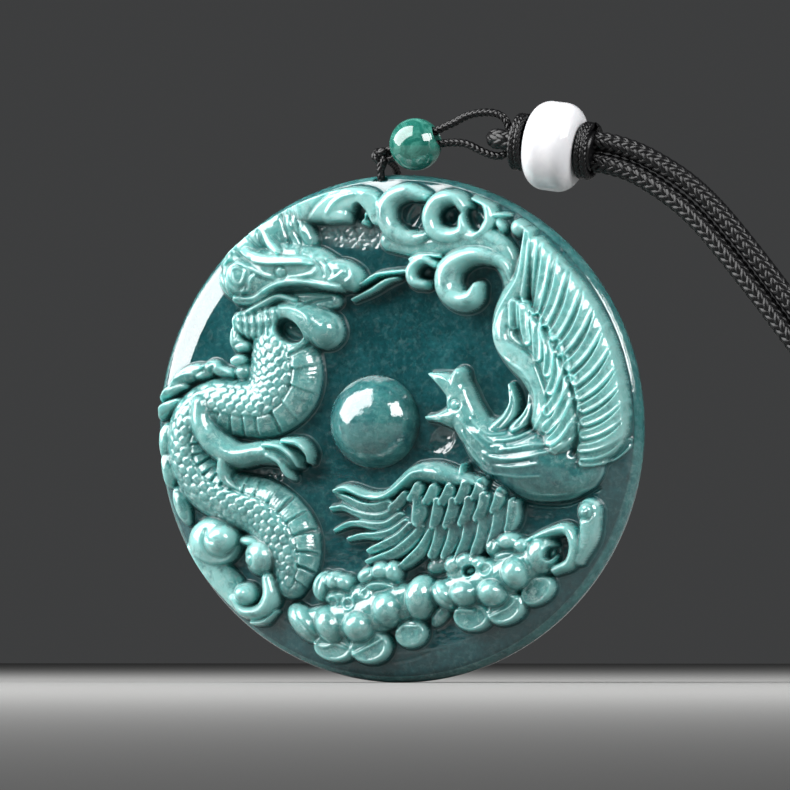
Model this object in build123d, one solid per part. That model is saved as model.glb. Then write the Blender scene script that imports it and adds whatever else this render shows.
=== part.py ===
from build123d import *

import math
import os

import numpy as np
from scipy.interpolate import LinearNDInterpolator
from scipy.spatial import Delaunay

# A carved jade pendant, dragon and phoenix round a pearl, on a double braided neck cord.
# The disc stands upright, its carved face towards -Y, and the cord loop rises to its right.
# All lengths are millimetres. The disc's centre is the middle of the layout until the
# last step, which moves every piece so that the origin lies where the cord rests on a neck.

# Jade disc
DISC_RADIUS = 29.0
FIELD_HEIGHT = 1.6
RELIEF_HEIGHT = 4.4
BACK_DEPTH = 4.0
FIELD_SHARE = 0.885
CHAMFER_SHARE = 0.955
CHAMFER_ANGLE = 22.0
BACK_ROUND = 2.2
RIM_STEPS = 5
RIM_SIDES = 120
FACE_TRIANGLES = 9400
GRID_STEP = 0.8
# The face's net starts from every sixth grid point and gains the worst-fitting ones in batches
START_STEPS = 6
POINT_BATCH = 200
FIT_ERROR = 0.01
# The face's net ends this many steps down the rim's bend, and the relief fades out before it
FACE_EDGE_STEPS = 2
FADE_END = 0.985
FADE_WIDTH = 0.025
# How low a feather's ends lie against its middle, and how steep and deep a hollow is cut
FEATHER_END = 0.82
HOLLOW_EDGE = 0.8
HOLLOW_REACH = 0.25

# Bore for the hanging cord, through the top rim to the back
BORE_DIAMETER = 1.7
BORE_OFFSET = -1.9
BORE_INSET = 0.8
BORE_RISE = -0.3
BORE_DROP = 5.6

# Thin hanging cord, its knot and the drilled jade bead
THREAD_DIAMETER = 0.9
KNOT_DIAMETER = 2.4
KNOT_GAP = 0.7
BEAD_DIAMETER = 6.0
BEAD_BORE = 2.3
BEAD_LEAN = 20.0
LANE_OFFSET = 0.5
# The thin cord behind the disc: heading in degrees above +Y and length of each run from the bore
BACK_RUNS = [(-5, 1.1), (43, 1.1), (90, 2.0), (95, 3.6), (112, 2.4)]
SEAT_GAP = 0.15
HITCH_REACH = 8.5
EXIT_RUN = 1.4
# The hitched loop's points (x, z) from the middle of the braided eye, over it, through it and back
HITCH_ROUTE = [(-4.9, 3.15), (-1.4, 3.3), (0.0, 1.7), (0.0, -1.5), (-2.1, -1.95)]

# White jade bead, bound cord core and the two windings that trap the bead.
# The lip is the flat ring that the rounding leaves round the bead's bore.
WHITE_DIAMETER = 10.2
WHITE_WIDTH = 5.9
WHITE_LIP = 0.35
WHITE_RISE = 2.9
CORE_DIAMETER = 4.7
CORE_CLEARANCE = 0.2
WINDING_DIAMETER = 6.6
WINDING_WIDTH = 1.7
WINDING_ROUND = 0.8
GROUP_TILT = 8.0

# Braided cord: the eye that the thin cord is hitched to, and the loop's two strands
STRAND_DIAMETER = 2.2
STRAND_SPACING = 2.4
EYE_RADIUS = 1.65
FIRST_RUN = 3.4
# The share of the shorter of two straight runs that the arc between them takes up
ARC_SHARE = 0.45
NECK_X = 88.0
NECK_Z = 126.5

# The strands' routes from the core to the neck, as chosen points (x, z) from the disc's centre.
# The inner strand leaves the core above the outer one and turns up first.
INNER_ROUTE = [
    (33.0, 28.9),
    (37.2, 25.5),
    (41.9, 20.0),
    (47.2, 13.2),
    (54.0, 4.6),
    (61.0, -3.0),
    (68.5, -5.0),
    (75.0, -0.5),
    (77.5, 10.0),
    (75.0, 25.5),
    (68.0, 41.0),
    (58.0, 54.0),
    (48.5, 66.0),
    (42.0, 80.0),
    (42.5, 95.0),
    (51.0, 109.0),
    (64.0, 120.0),
    (80.0, 126.5),
]
OUTER_ROUTE = [
    (31.6, 26.8),
    (35.5, 23.7),
    (39.6, 18.9),
    (44.9, 12.3),
    (52.3, 2.4),
    (61.0, -9.4),
    (72.0, -19.0),
    (86.0, -24.5),
    (100.0, -25.2),
    (114.0, -20.0),
    (125.0, -9.5),
    (132.0, 4.0),
    (135.2, 20.0),
    (136.0, 38.0),
    (135.6, 56.0),
    (134.0, 74.0),
    (129.5, 92.0),
    (121.5, 108.0),
    (110.0, 120.0),
    (96.0, 126.5),
]

# Tables of the carving. Places and half widths are hundredths of the disc's radius, x to the
# right and z up from its centre. Heights are shares of the relief's height above the field.

# Strokes: name, fullness of the section, then rows of x, z, half width, height
STROKES = [
    ("sky band", 3, [
        (0, 74, 5, 0.36), (12, 71, 4.5, 0.38), (25, 72, 5, 0.42), (38, 74, 6, 0.45), (46, 68, 6, 0.45),
        (50, 60, 5, 0.42), (50, 53, 3.5, 0.38),
    ]),
    ("cloud band", 4, [
        (-42, 84, 6, 0.46), (-34, 87, 6.5, 0.5), (-25, 88, 7, 0.54), (-16, 90, 5.5, 0.56),
        (-8, 89, 4.5, 0.54), (-5, 82, 3, 0.5),
    ]),
    ("cloud lobe", 3, [(-25, 85, 5, 0.52), (-19, 83.5, 4, 0.56)]),
    ("cloud hook", 2, [(-10, 80.5, 2, 0.4), (-12, 83, 1.8, 0.45), (-9.5, 84, 1.5, 0.4)]),
    ("first swirl", 2, [
        (14, 91, 2.6, 0.5), (6, 92.5, 4, 0.6), (-0.5, 88.5, 4.4, 0.66), (-1, 81, 4.4, 0.66),
        (3.5, 76, 4.2, 0.62), (10, 74, 4, 0.55), (15, 75, 2.6, 0.5),
    ]),
    ("second swirl", 2, [
        (31, 86, 3, 0.52), (27, 90, 3.4, 0.58), (20.5, 89, 3.8, 0.66), (17, 83.5, 3.9, 0.68),
        (18.5, 77.5, 4, 0.66), (24, 75, 4, 0.62), (30, 76.5, 3.6, 0.58), (30.5, 82, 2.6, 0.55),
    ]),
    ("third swirl", 2, [
        (35, 90, 2, 0.42), (40, 87, 2.6, 0.46), (41, 80, 3, 0.5), (36, 75, 3, 0.5), (31, 75, 2.6, 0.5),
    ]),
    ("little ring", 2, [
        (19, 64, 2, 0.5), (14, 66, 2.6, 0.55), (9.5, 62.5, 2.8, 0.58), (10, 57.5, 2.8, 0.58),
        (15, 56, 2.2, 0.52),
    ]),
    ("ring link", 2, [(9, 66, 1.4, 0.5), (14, 67.6, 1.2, 0.5), (21, 67.2, 1.1, 0.48)]),
    ("great curl", 2, [
        (51, 57, 2.4, 0.5), (48, 63.5, 3.2, 0.58), (41, 67, 3.8, 0.68), (33, 67, 4.4, 0.78),
        (25.5, 62.5, 5.6, 0.84), (24.5, 55, 5.8, 0.86), (29, 50, 5, 0.86), (34.5, 50.5, 4.4, 0.86),
        (37, 55, 2.6, 0.8),
    ]),
    ("upper whisker", 2, [
        (-11, 56.5, 1, 0.55), (-5, 60, 1.3, 0.6), (1, 61, 1.3, 0.58), (7, 61.5, 1.3, 0.52),
    ]),
    ("lower whisker", 2, [
        (-15, 50.5, 1, 0.5), (-7, 54, 1.4, 0.55), (-1, 57.5, 1.5, 0.55), (3.5, 58.7, 1, 0.5),
    ]),
    ("dragon body", 2, [
        (-47, 38, 10, 0.6), (-44, 27, 14.5, 0.7), (-44.5, 17, 15.5, 0.74), (-51, 9, 12.5, 0.72),
        (-62, 8.5, 11.5, 0.7), (-73, 9.5, 10.5, 0.68), (-81, 4.5, 10, 0.66), (-84, -4, 9, 0.64),
        (-82, -14, 9.5, 0.62), (-75, -23, 10.5, 0.64), (-63, -28, 11, 0.66), (-52, -32, 12, 0.68),
        (-43, -42, 13, 0.66), (-40, -52, 10.5, 0.6), (-41, -61, 6.5, 0.5),
    ]),
    ("mane", 3, [
        (-66, 65, 5, 0.42), (-60, 70, 6.5, 0.52), (-51, 75, 8, 0.58), (-41, 78, 8, 0.55),
        (-36, 74, 6, 0.5),
    ]),
    ("mane locks", 4, [(-62, 43, 4, 0.45), (-56, 41, 6.5, 0.5), (-49, 43, 5, 0.5)]),
    ("skull", 2, [
        (-63, 59, 8.5, 0.66), (-54, 61, 11.5, 0.78), (-43, 64, 11, 0.86), (-32, 63, 9, 0.86),
        (-24, 61, 6.5, 0.82),
    ]),
    ("snout", 2, [(-26, 60, 6, 0.84), (-17, 60, 7.2, 0.92)]),
    ("brow", 2, [
        (-58, 69.5, 2, 0.82), (-52, 67, 2.6, 0.95), (-45, 66.3, 2.4, 1.0), (-37, 66, 2.2, 0.98),
        (-31, 65, 1.8, 0.9),
    ]),
    ("horn", 2, [(-52, 80, 1, 0.75), (-49.5, 75, 2.4, 0.86), (-44, 69.5, 2.6, 0.9)]),
    ("upper lip", 2, [
        (-63, 51, 2.2, 0.6), (-55, 51, 2.6, 0.7), (-49, 54.5, 2.6, 0.78), (-42, 57, 2.4, 0.84),
        (-34, 57.5, 2.4, 0.88), (-26, 56.5, 2.6, 0.88), (-19, 55.5, 2.4, 0.86),
    ]),
    ("lower lip", 2, [
        (-58, 46, 2, 0.55), (-51, 49.5, 2.3, 0.62), (-45, 52, 2, 0.64), (-38, 50.5, 1.6, 0.6),
    ]),
    ("jaw", 2, [
        (-48, 45, 4.5, 0.58), (-41, 46, 5.5, 0.68), (-33, 42.5, 7.5, 0.78), (-26.5, 38.5, 7.8, 0.82),
    ]),
    ("front leg", 2, [
        (-77, 10, 5, 0.86), (-76.5, 2, 6, 0.92), (-71, -6, 6, 0.94), (-63, -10.5, 5.5, 0.94),
        (-54, -9.5, 5, 0.9), (-46, -9.5, 5.5, 0.84), (-40, -11, 5.5, 0.76),
    ]),
    ("spur", 2, [
        (-67, -12, 4, 0.88), (-67.5, -17, 3.6, 0.84), (-65.5, -21, 2.8, 0.76), (-61, -24, 1.3, 0.64),
    ]),
    ("upper toe", 2, [
        (-42, -5, 2, 0.9), (-36, -5.8, 2.4, 0.92), (-32.5, -9.5, 2, 0.8), (-32.5, -13, 1.4, 0.6),
    ]),
    ("middle toe", 2, [
        (-50, -6.5, 2, 0.9), (-43.5, -7, 2.6, 0.96), (-38.5, -11, 2.2, 0.86), (-37, -14.5, 1.5, 0.64),
    ]),
    ("lower toe", 2, [
        (-48, -10.5, 2.4, 0.9), (-43.5, -13, 2.4, 0.88), (-41.5, -17.5, 2, 0.72), (-40, -19.5, 1.2, 0.55),
    ]),
    ("cloud flank", 3, [
        (-81, -48, 5, 0.4), (-76, -56, 7.5, 0.42), (-68, -62, 7, 0.36), (-62, -70, 5, 0.3),
    ]),
    ("cloud ring", 2, [
        (-50, -59, 3.4, 0.6), (-49, -66, 4.2, 0.66), (-53, -71.5, 3.6, 0.62), (-60, -72, 2.8, 0.55),
        (-64.5, -67, 2.2, 0.5),
    ]),
    ("cloud lip", 2, [(-58, -76.5, 1, 0.34), (-52, -76, 1.5, 0.4), (-47, -72, 1, 0.36)]),
    ("phoenix fan", 3, [
        (60, 71, 4, 0.46), (65, 60, 8, 0.53), (71, 46, 12.5, 0.57), (77, 30, 15.5, 0.59),
        (82, 14, 15, 0.58), (84, 0, 12.5, 0.54), (81, -9, 7, 0.48),
    ]),
    ("phoenix train", 2, [
        (57, 77, 2.2, 0.5), (56.5, 68, 3.2, 0.56), (55, 59, 4.2, 0.62), (51.5, 51, 6, 0.68),
        (49, 43, 6.8, 0.74), (49, 35, 6.6, 0.78), (53.5, 28, 6.8, 0.8), (60, 21, 6.8, 0.8),
        (65, 12, 7, 0.82), (66, 2, 8, 0.84),
    ]),
    ("phoenix body", 2, [
        (27, 10, 6, 0.8), (30, 3, 7.5, 0.86), (37, -5, 10.5, 0.92), (47, -11.5, 13, 0.97),
        (60, -14, 15, 0.94), (71, -16, 12.5, 0.82), (80, -19, 6.5, 0.6),
    ]),
    ("phoenix crest", 2, [(27, 15, 5.5, 0.78), (28.5, 21.5, 4, 0.78)]),
    ("crest point", 2, [(25, 19.5, 2.4, 0.74), (20, 20.3, 1.6, 0.68), (15.5, 21.3, 0.9, 0.6)]),
    ("beak", 2, [(24, 6, 3, 0.78), (19, 4.6, 2, 0.7), (15, 5, 1, 0.55)]),
    ("wing covert", 3, [
        (-18, -30, 3, 0.42), (-6, -32, 4.5, 0.48), (6, -31, 6, 0.56), (18, -31, 8.5, 0.62),
        (31, -30, 8.5, 0.62), (42, -27, 6, 0.58),
    ]),
    ("wing edge", 2, [
        (-22, -24.6, 1.5, 0.6), (-16.5, -23.8, 2.1, 0.68), (-8, -26.6, 2.4, 0.74), (0, -26.4, 2.6, 0.8),
        (7, -21.5, 3.4, 0.86), (13, -18, 4.4, 0.92), (20, -18, 5, 0.94), (28, -20, 4.2, 0.9),
        (37, -21.5, 3, 0.84),
    ]),
    ("wing spike", 2, [(31, -19.5, 2.4, 0.8), (31, -14.5, 0.9, 0.66)]),
    ("curl leaf", 2, [
        (57, -44.5, 1.6, 0.5), (65, -41.5, 2.4, 0.58), (73, -40, 3, 0.62), (76, -46, 2.6, 0.6),
        (74, -53, 2.6, 0.55), (68, -56, 2.2, 0.5),
    ]),
    ("bud stem", 3, [(82, -35, 4.4, 0.56), (81, -43, 3.8, 0.5), (77, -52, 2.4, 0.42)]),
]

# Feathers: root and tip (x, z), half width at the root and at the tip, height, bow to one side
FEATHERS = [
    ("fan", [
        (60, 78, 57, 50.5, 2.2, 2.0, 0.62, -0.03), (65.5, 75.5, 61, 45.5, 2.4, 2.1, 0.63, -0.05),
        (71.5, 70, 65, 41, 2.6, 2.3, 0.65, -0.08), (77, 64, 69, 35.5, 2.8, 2.4, 0.67, -0.1),
        (82.5, 57, 72, 29.5, 2.9, 2.4, 0.68, -0.12), (87, 49.5, 75.5, 23.5, 2.9, 2.4, 0.69, -0.13),
        (91, 42, 78, 17.8, 2.8, 2.3, 0.69, -0.13), (94.5, 34, 80, 12.2, 2.7, 2.2, 0.68, -0.13),
        (97, 25.5, 81, 7, 2.5, 2.1, 0.67, -0.13), (98, 17, 81.5, 1.8, 2.3, 2.0, 0.65, -0.13),
        (98.5, 9.5, 81, -3.4, 2.1, 1.9, 0.62, -0.13), (98.5, 2.5, 79.5, -8.6, 1.9, 1.8, 0.6, -0.14),
        (96.5, -6, 80, -14, 1.6, 1.6, 0.56, -0.14),
    ]),
    ("inner fan", [
        (53, 48, 53, 39.5, 1.9, 1.7, 0.8, 0), (56, 48, 57, 34.5, 2, 2, 0.82, 0.03),
        (60.5, 43, 61.5, 28, 2.2, 2.1, 0.84, -0.03), (64.5, 38.5, 66, 22, 2.4, 2.1, 0.86, -0.08),
        (68.5, 33, 67.5, 14, 2.6, 2.2, 0.88, -0.12), (72.5, 26, 66, 5, 2.7, 2.2, 0.9, -0.14),
        (75.5, 18, 65, -2, 2.7, 2.1, 0.91, -0.12), (77, 9, 67, -7, 2.6, 2, 0.91, -0.1),
        (77.5, 0, 69, -10, 2.2, 1.8, 0.89, -0.08),
    ]),
    ("wing primary", [
        (2, -33, -21, -28, 2, 1.5, 0.5, -0.14), (5, -35.5, -15, -36.5, 2.1, 1.7, 0.52, -0.12),
        (7, -37, -22, -41, 2.1, 1.4, 0.5, -0.08), (10, -38, -8.5, -49, 2.2, 1.9, 0.54, -0.1),
        (14, -39, -9, -53, 2.3, 1.9, 0.54, -0.12), (18, -40, 4.5, -55, 2.2, 1.8, 0.52, -0.08),
        (22, -40, 18.5, -49.5, 2, 1.7, 0.54, -0.06), (27, -39.5, 24, -49.5, 2, 1.7, 0.54, -0.06),
        (32.5, -39, 29.5, -49.5, 2, 1.7, 0.54, -0.06), (39, -38, 36.5, -48.5, 2, 1.7, 0.54, -0.08),
        (45.5, -35, 44, -45, 2, 1.7, 0.52, -0.06), (52.5, -30, 50, -39, 1.8, 1.5, 0.5, -0.06),
    ]),
    ("wisp", [
        (48.5, 3, 48.5, 15, 2.2, 1.4, 0.62, 0.12), (54.5, 4, 52.5, 15, 1.8, 1, 0.58, 0.14),
        (58.5, 5, 57.5, 12, 1.6, 1, 0.5, 0.1), (57, 19, 51, 22.5, 1.3, 0.7, 0.4, 0),
    ]),
]

# Mounds: name, then rows of x, z, half length, half breadth, turn in degrees, height, fullness
MOUNDS = [
    ("fins", [
        (-84, 21.6, 7.6, 3.7, 6, 0.44, 2), (-72.5, 23.5, 6.4, 4.2, -18, 0.46, 2),
        (-63, 26, 4.4, 3.6, 20, 0.56, 2), (-63.2, 34.5, 5.2, 3, 70, 0.5, 2),
        (-89.5, 15, 5.6, 3.2, 25, 0.42, 2), (-93, 7.2, 4.8, 3.6, 20, 0.42, 2),
        (-93.6, -4, 7.6, 3.6, 80, 0.42, 2), (-92.5, -16, 7.6, 3.8, 100, 0.42, 2),
        (-87, -30, 8.6, 3.4, 110, 0.36, 2),
    ]),
    ("mane lobes", [
        (-64.5, 71, 7.4, 4.8, 48, 0.56, 2), (-56.5, 76, 6.6, 4.8, 56, 0.64, 2),
        (-47, 80, 7.6, 5.2, 48, 0.68, 2), (-40, 82, 4.6, 5.4, 0, 0.6, 2),
    ]),
    ("jaw swirl", [(-62, 59.5, 8.4, 6.4, 75, 0.78, 3)]),
    ("clouds", [
        (-73, -44.5, 11.5, 10.5, 0, 0.72, 2), (-69, -43.6, 6.8, 6.4, 0, 0.86, 3),
        (-53, -50.5, 7.4, 7.8, 0, 0.86, 2), (-57, -44.5, 6, 2.6, -8, 0.66, 2),
        (-59.5, -65, 4.9, 4.9, 0, 0.86, 2),
    ]),
    ("sky beads", [
        (53, 78, 4, 4, 0, 0.48, 2), (45.5, 79, 3.6, 1.8, 120, 0.46, 2), (44.5, 83, 4.4, 1.5, 5, 0.44, 2),
    ]),
    ("left peony", [
        (-13, -67, 13, 6, 8, 0.5, 3), (-24, -60.5, 8.4, 5, -10, 0.66, 3), (-3, -56.8, 9, 4.8, 3, 0.68, 3),
        (-23.5, -87.5, 8.6, 5, -5, 0.44, 3), (-8, -87.5, 8.6, 5.8, 8, 0.48, 3),
        (20.5, -73.5, 6, 3.2, 48, 0.3, 2), (9.5, -82, 6.2, 5, 12, 0.46, 3),
        (-35.2, -76.6, 10, 5.6, -48, 0.66, 2),
        (-24.6, -77.4, 8.6, 6.4, -62, 0.8, 2), (12.6, -66.6, 9.4, 7.2, 78, 0.82, 2),
        (-0.3, -71, 7.4, 8, 0, 0.9, 2), (-12, -77.6, 7.8, 7.4, 0, 0.94, 2),
    ]),
    ("right peony", [
        (38, -56.5, 12.5, 5.6, 10, 0.5, 3), (19.5, -53.5, 5.6, 3.6, 24, 0.3, 2),
        (30.5, -54, 8.4, 5.2, 12, 0.6, 3), (48.5, -45.8, 8.8, 4.8, 0, 0.64, 3),
        (34.5, -75.3, 7.8, 5.2, 0, 0.46, 3), (48.5, -72.6, 7.8, 5, 25, 0.48, 3),
        (61.5, -66, 7, 3.8, 35, 0.4, 3), (61.8, -50, 9, 7.4, 62, 0.72, 2),
        (22.6, -65.6, 7.2, 5.2, -46, 0.7, 2), (31.6, -65, 7.8, 6, 0, 0.82, 2),
        (52.4, -57, 6.8, 7.4, 0, 0.92, 2), (43.2, -64.5, 7.4, 6.6, 0, 0.94, 2),
    ]),
    ("bud", [(81.5, -33, 5, 5.4, 0, 0.62, 2), (81, -33.5, 3, 3, 0, 0.7, 2)]),
]

# Hollows cut below the surface: x, z, half length, half breadth, turn, depth as a share
HOLLOWS = [
    (-20, 76, 12, 3.6, -4, 0.2),
    (-12.5, 84.5, 2.4, 4, 0, 0.4),
    (9.5, 83, 3.4, 6, -25, 0.42),
    (24, 83, 2.9, 3.4, 0, 0.46),
    (34.5, 81.5, 3, 5.4, 25, 0.4),
    (14.8, 60.8, 2.8, 3, 0, 0.46),
    (-41, 39, 6, 4, -30, 0.5),
    (-30, 49.5, 10, 1.9, -12, 0.45),
    (70.5, -48.5, 3.4, 2.2, -20, 0.4),
    (20.5, -5, 4, 5, -35, 0.25),
]

# Pearl: a ball half sunk in the field
PEARL_X = -7.5
PEARL_Z = 2.5
PEARL_RADIUS = 5.45
PEARL_SINK = 1.0


def rim_profile(steps=RIM_STEPS):
    """Radius and height of the rim from the chamfer's outer edge to the widest line, a row a step."""
    tilt = math.radians(CHAMFER_ANGLE)
    edge_radius = DISC_RADIUS * CHAMFER_SHARE
    edge_height = FIELD_HEIGHT - DISC_RADIUS * (CHAMFER_SHARE - FIELD_SHARE) * math.tan(tilt)
    bend = (DISC_RADIUS - edge_radius) / (1 - math.sin(tilt))
    rows = []
    for k in range(steps + 1):
        turn = tilt + (math.pi / 2 - tilt) * k / steps
        radius = edge_radius + bend * (math.sin(turn) - math.sin(tilt))
        rows.append((radius, edge_height - bend * (math.cos(tilt) - math.cos(turn))))
    return rows


def back_profile(widest_height, steps=RIM_STEPS):
    """Radius and height from the widest line round to the flat back."""
    fall = widest_height + BACK_DEPTH
    rows = []
    for k in range(1, steps + 1):
        turn = math.pi / 2 * k / steps
        rows.append((DISC_RADIUS - BACK_ROUND * (1 - math.cos(turn)), widest_height - fall * math.sin(turn)))
    return rows


def base_height(radius):
    """Height of the plain disc face: a flat field, the chamfer and the start of the rim's bend."""
    rows = [(0.0, FIELD_HEIGHT), (DISC_RADIUS * FIELD_SHARE, FIELD_HEIGHT)] + rim_profile()
    table = np.array(rows)
    return np.interp(radius, table[:, 0], table[:, 1])


def smooth_rows(rows, parts=4):
    """Rows of numbers with points added between them on a smooth curve through them all."""
    table = np.array(rows, float)
    ends = np.vstack([2 * table[0] - table[1], table, 2 * table[-1] - table[-2]])
    out = []
    for k in range(1, len(ends) - 2):
        a, b, c, d = ends[k - 1:k + 3]
        for t in np.arange(parts) / parts:
            out.append(0.5 * (2 * b + (c - a) * t + (2 * a - 5 * b + 4 * c - d) * t**2
                              + (3 * b - a - 3 * c + d) * t**3))
    out.append(table[-1])
    return np.array(out)


class Carving:
    """The carved face as heights over a square grid, in hundredths of the disc's radius."""

    def __init__(self, step):
        count = int(round(100 / step))
        line = np.linspace(-100, 100, 2 * count + 1)
        self.x, self.z = np.meshgrid(line, line)
        self.step = line[1] - line[0]
        self.radius = np.hypot(self.x, self.z) * DISC_RADIUS / 100
        self.base = base_height(self.radius)
        self.height = self.base.copy()

    def window(self, low_x, high_x, low_z, high_z):
        """The slices of the grid that cover a box."""
        last = len(self.x) - 1
        first, final = (int(np.clip(np.floor((v + 100) / self.step), 0, last)) for v in (low_x, high_x))
        lower, upper = (int(np.clip(np.floor((v + 100) / self.step), 0, last)) for v in (low_z, high_z))
        return slice(lower, upper + 2), slice(first, final + 2)

    def lift(self, cut, share, top, fullness):
        """Raise the surface in a window to a rounded section: share is the distance from its middle."""
        rise = np.sqrt(np.clip(1 - share**fullness, 0, None))
        raised = FIELD_HEIGHT + RELIEF_HEIGHT * top * rise
        inside = share < 1
        self.height[cut] = np.where(inside, np.maximum(self.height[cut], raised), self.height[cut])

    def stroke(self, rows, fullness=2):
        """A ridge along a smooth line through rows of x, z, half width, height."""
        rows = smooth_rows(rows)
        for (x0, z0, w0, t0), (x1, z1, w1, t1) in zip(rows[:-1], rows[1:]):
            wide = max(w0, w1)
            cut = self.window(min(x0, x1) - wide, max(x0, x1) + wide, min(z0, z1) - wide, max(z0, z1) + wide)
            dx, dz = x1 - x0, z1 - z0
            along = ((self.x[cut] - x0) * dx + (self.z[cut] - z0) * dz) / (dx * dx + dz * dz)
            along = np.clip(along, 0, 1)
            away = np.hypot(self.x[cut] - x0 - along * dx, self.z[cut] - z0 - along * dz)
            self.lift(cut, away / (w0 + (w1 - w0) * along), t0 + (t1 - t0) * along, fullness)

    def across(self, x, z, length, breadth, turn):
        """The window round an ellipse and the distance from its middle in half sizes."""
        reach = max(length, breadth)
        cut = self.window(x - reach, x + reach, z - reach, z + reach)
        c, s = math.cos(math.radians(turn)), math.sin(math.radians(turn))
        dx, dz = self.x[cut] - x, self.z[cut] - z
        return cut, np.hypot((dx * c + dz * s) / length, (dz * c - dx * s) / breadth)

    def mound(self, x, z, length, breadth, turn, top, fullness):
        """A rounded boss on an ellipse."""
        cut, share = self.across(x, z, length, breadth, turn)
        self.lift(cut, share, top, fullness)

    def hollow(self, x, z, length, breadth, turn, depth):
        """A dish cut down from what stands there, no deeper than under the field by its share."""
        cut, share = self.across(x, z, length, breadth, turn)
        floor = FIELD_HEIGHT - RELIEF_HEIGHT * depth * HOLLOW_REACH * np.clip(1 - share**2, 0, None)
        edge = np.clip((share - HOLLOW_EDGE) / (1 - HOLLOW_EDGE), 0, 1)
        sunk = np.minimum(self.height[cut], floor * (1 - edge) + self.height[cut] * edge)
        self.height[cut] = np.where(share < 1, sunk, self.height[cut])

    def feather(self, x0, z0, x1, z1, root, tip, top, bow):
        """A narrow ridge from its root to its rounded tip, bowed sideways by a share of its length."""
        rows = []
        for t in (0, 0.25, 0.5, 0.75, 1):
            side = bow * 4 * t * (1 - t)
            x = x0 + (x1 - x0) * t + (z1 - z0) * side
            z = z0 + (z1 - z0) * t - (x1 - x0) * side
            swell = FEATHER_END + (1 - FEATHER_END) * math.sin(math.pi * t)
            rows.append((x, z, root + (tip - root) * t, top * swell))
        self.stroke(rows)

    def ball(self, x, z, radius, sink):
        """A ball whose middle lies under the field."""
        share = 100 * radius / DISC_RADIUS
        cut, away = self.across(x, z, share, share, 0)
        raised = FIELD_HEIGHT - sink + radius * np.sqrt(np.clip(1 - away**2, 0, None))
        self.height[cut] = np.where(away < 1, np.maximum(self.height[cut], raised), self.height[cut])

    def settle(self):
        """Bring the relief down to the plain disc before the rim's bend."""
        fade = np.clip((FADE_END * DISC_RADIUS - self.radius) / (FADE_WIDTH * DISC_RADIUS), 0, 1)
        self.height = self.base + (self.height - self.base) * fade


def carve():
    """The whole carved face."""
    face = Carving(GRID_STEP)
    for _, fullness, rows in STROKES:
        face.stroke(rows, fullness)
    for _, rows in MOUNDS:
        for row in rows:
            face.mound(*row)
    for _, rows in FEATHERS:
        for row in rows:
            face.feather(*row)
    face.ball(PEARL_X, PEARL_Z, PEARL_RADIUS, PEARL_SINK)
    for row in HOLLOWS:
        face.hollow(*row)
    face.settle()
    return face


def face_points(face, ring):
    """Points (x, z) and heights that follow the carved face, the ring's first, and their triangles."""
    mm = DISC_RADIUS / 100
    xs, zs, heights = face.x * mm, face.z * mm, face.height
    ring_radius = ring[0][0]
    half_side = math.pi * ring_radius / len(ring)
    inside = face.radius < ring_radius - half_side
    chosen = np.zeros(inside.shape, bool)
    chosen[::START_STEPS, ::START_STEPS] = True
    chosen &= inside
    edge = np.array([(r * math.cos(turn), r * math.sin(turn), height) for r, turn, height in ring])
    wanted = FACE_TRIANGLES // 2
    while True:
        flat = np.vstack([edge[:, :2], np.column_stack([xs[chosen], zs[chosen]])])
        tall = np.concatenate([edge[:, 2], heights[chosen]])
        net = Delaunay(flat)
        if len(flat) >= wanted:
            return flat, tall, net.simplices
        error = np.abs(LinearNDInterpolator(net, tall)(xs, zs) - heights)
        error[~inside | chosen | np.isnan(error)] = 0
        around = [np.roll(error, (i, j), (0, 1)) for i in (-1, 0, 1) for j in (-1, 0, 1)]
        places = np.flatnonzero((error == np.max(around, axis=0)) & (error > FIT_ERROR))
        missing = wanted - len(flat)
        room = min(missing, max(POINT_BATCH, missing // 2))
        best = places[np.argsort(error.flat[places])[::-1][:room]]
        if len(best) == 0:
            return flat, tall, net.simplices
        chosen.flat[best] = True


def make_disc():
    """The jade disc: the carved face, the rounded rim and the flat back as one closed solid, drilled."""
    front = rim_profile()
    rows = front[FACE_EDGE_STEPS:] + back_profile(front[-1][1])
    angles = [2 * math.pi * k / RIM_SIDES for k in range(RIM_SIDES)]
    ring = [(rows[0][0], angle, rows[0][1]) for angle in angles]
    flat, tall, triangles = face_points(carve(), ring)
    points = [Vector(float(x), float(-h), float(z)) for (x, z), h in zip(flat, tall)]
    faces = [Face(Wire.make_polygon([points[k] for k in row], close=True)) for row in triangles]
    rings = [points[:RIM_SIDES]]
    for radius, height in rows[1:]:
        rings.append([Vector(radius * math.cos(a), -height, radius * math.sin(a)) for a in angles])
    for upper, lower in zip(rings[:-1], rings[1:]):
        for k in range(RIM_SIDES):
            n = (k + 1) % RIM_SIDES
            faces.append(Face(Wire.make_polygon([upper[k], upper[n], lower[n], lower[k]], close=True)))
    faces.append(Face(Wire.make_polygon(rings[-1], close=True)))
    disc = Solid(Shell(faces))
    start, end = bore_line()
    return disc - rod(start, end, BORE_DIAMETER)


def bore_line():
    """The bore's axis, from in front of the top rim to behind the back."""
    inlet = Vector(BORE_OFFSET, BORE_RISE, DISC_RADIUS - BORE_INSET)
    outlet = Vector(BORE_OFFSET, BACK_DEPTH, DISC_RADIUS - BORE_INSET - BORE_DROP)
    way = (outlet - inlet).normalized()
    return inlet - way * BORE_DIAMETER * 2, outlet + way * BORE_DIAMETER


def rod(start, end, diameter):
    """A round rod between two points."""
    length = (end - start).length
    plane = Plane(origin=(start + end) * 0.5, z_dir=end - start)
    return plane * Cylinder(diameter / 2, length)


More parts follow.
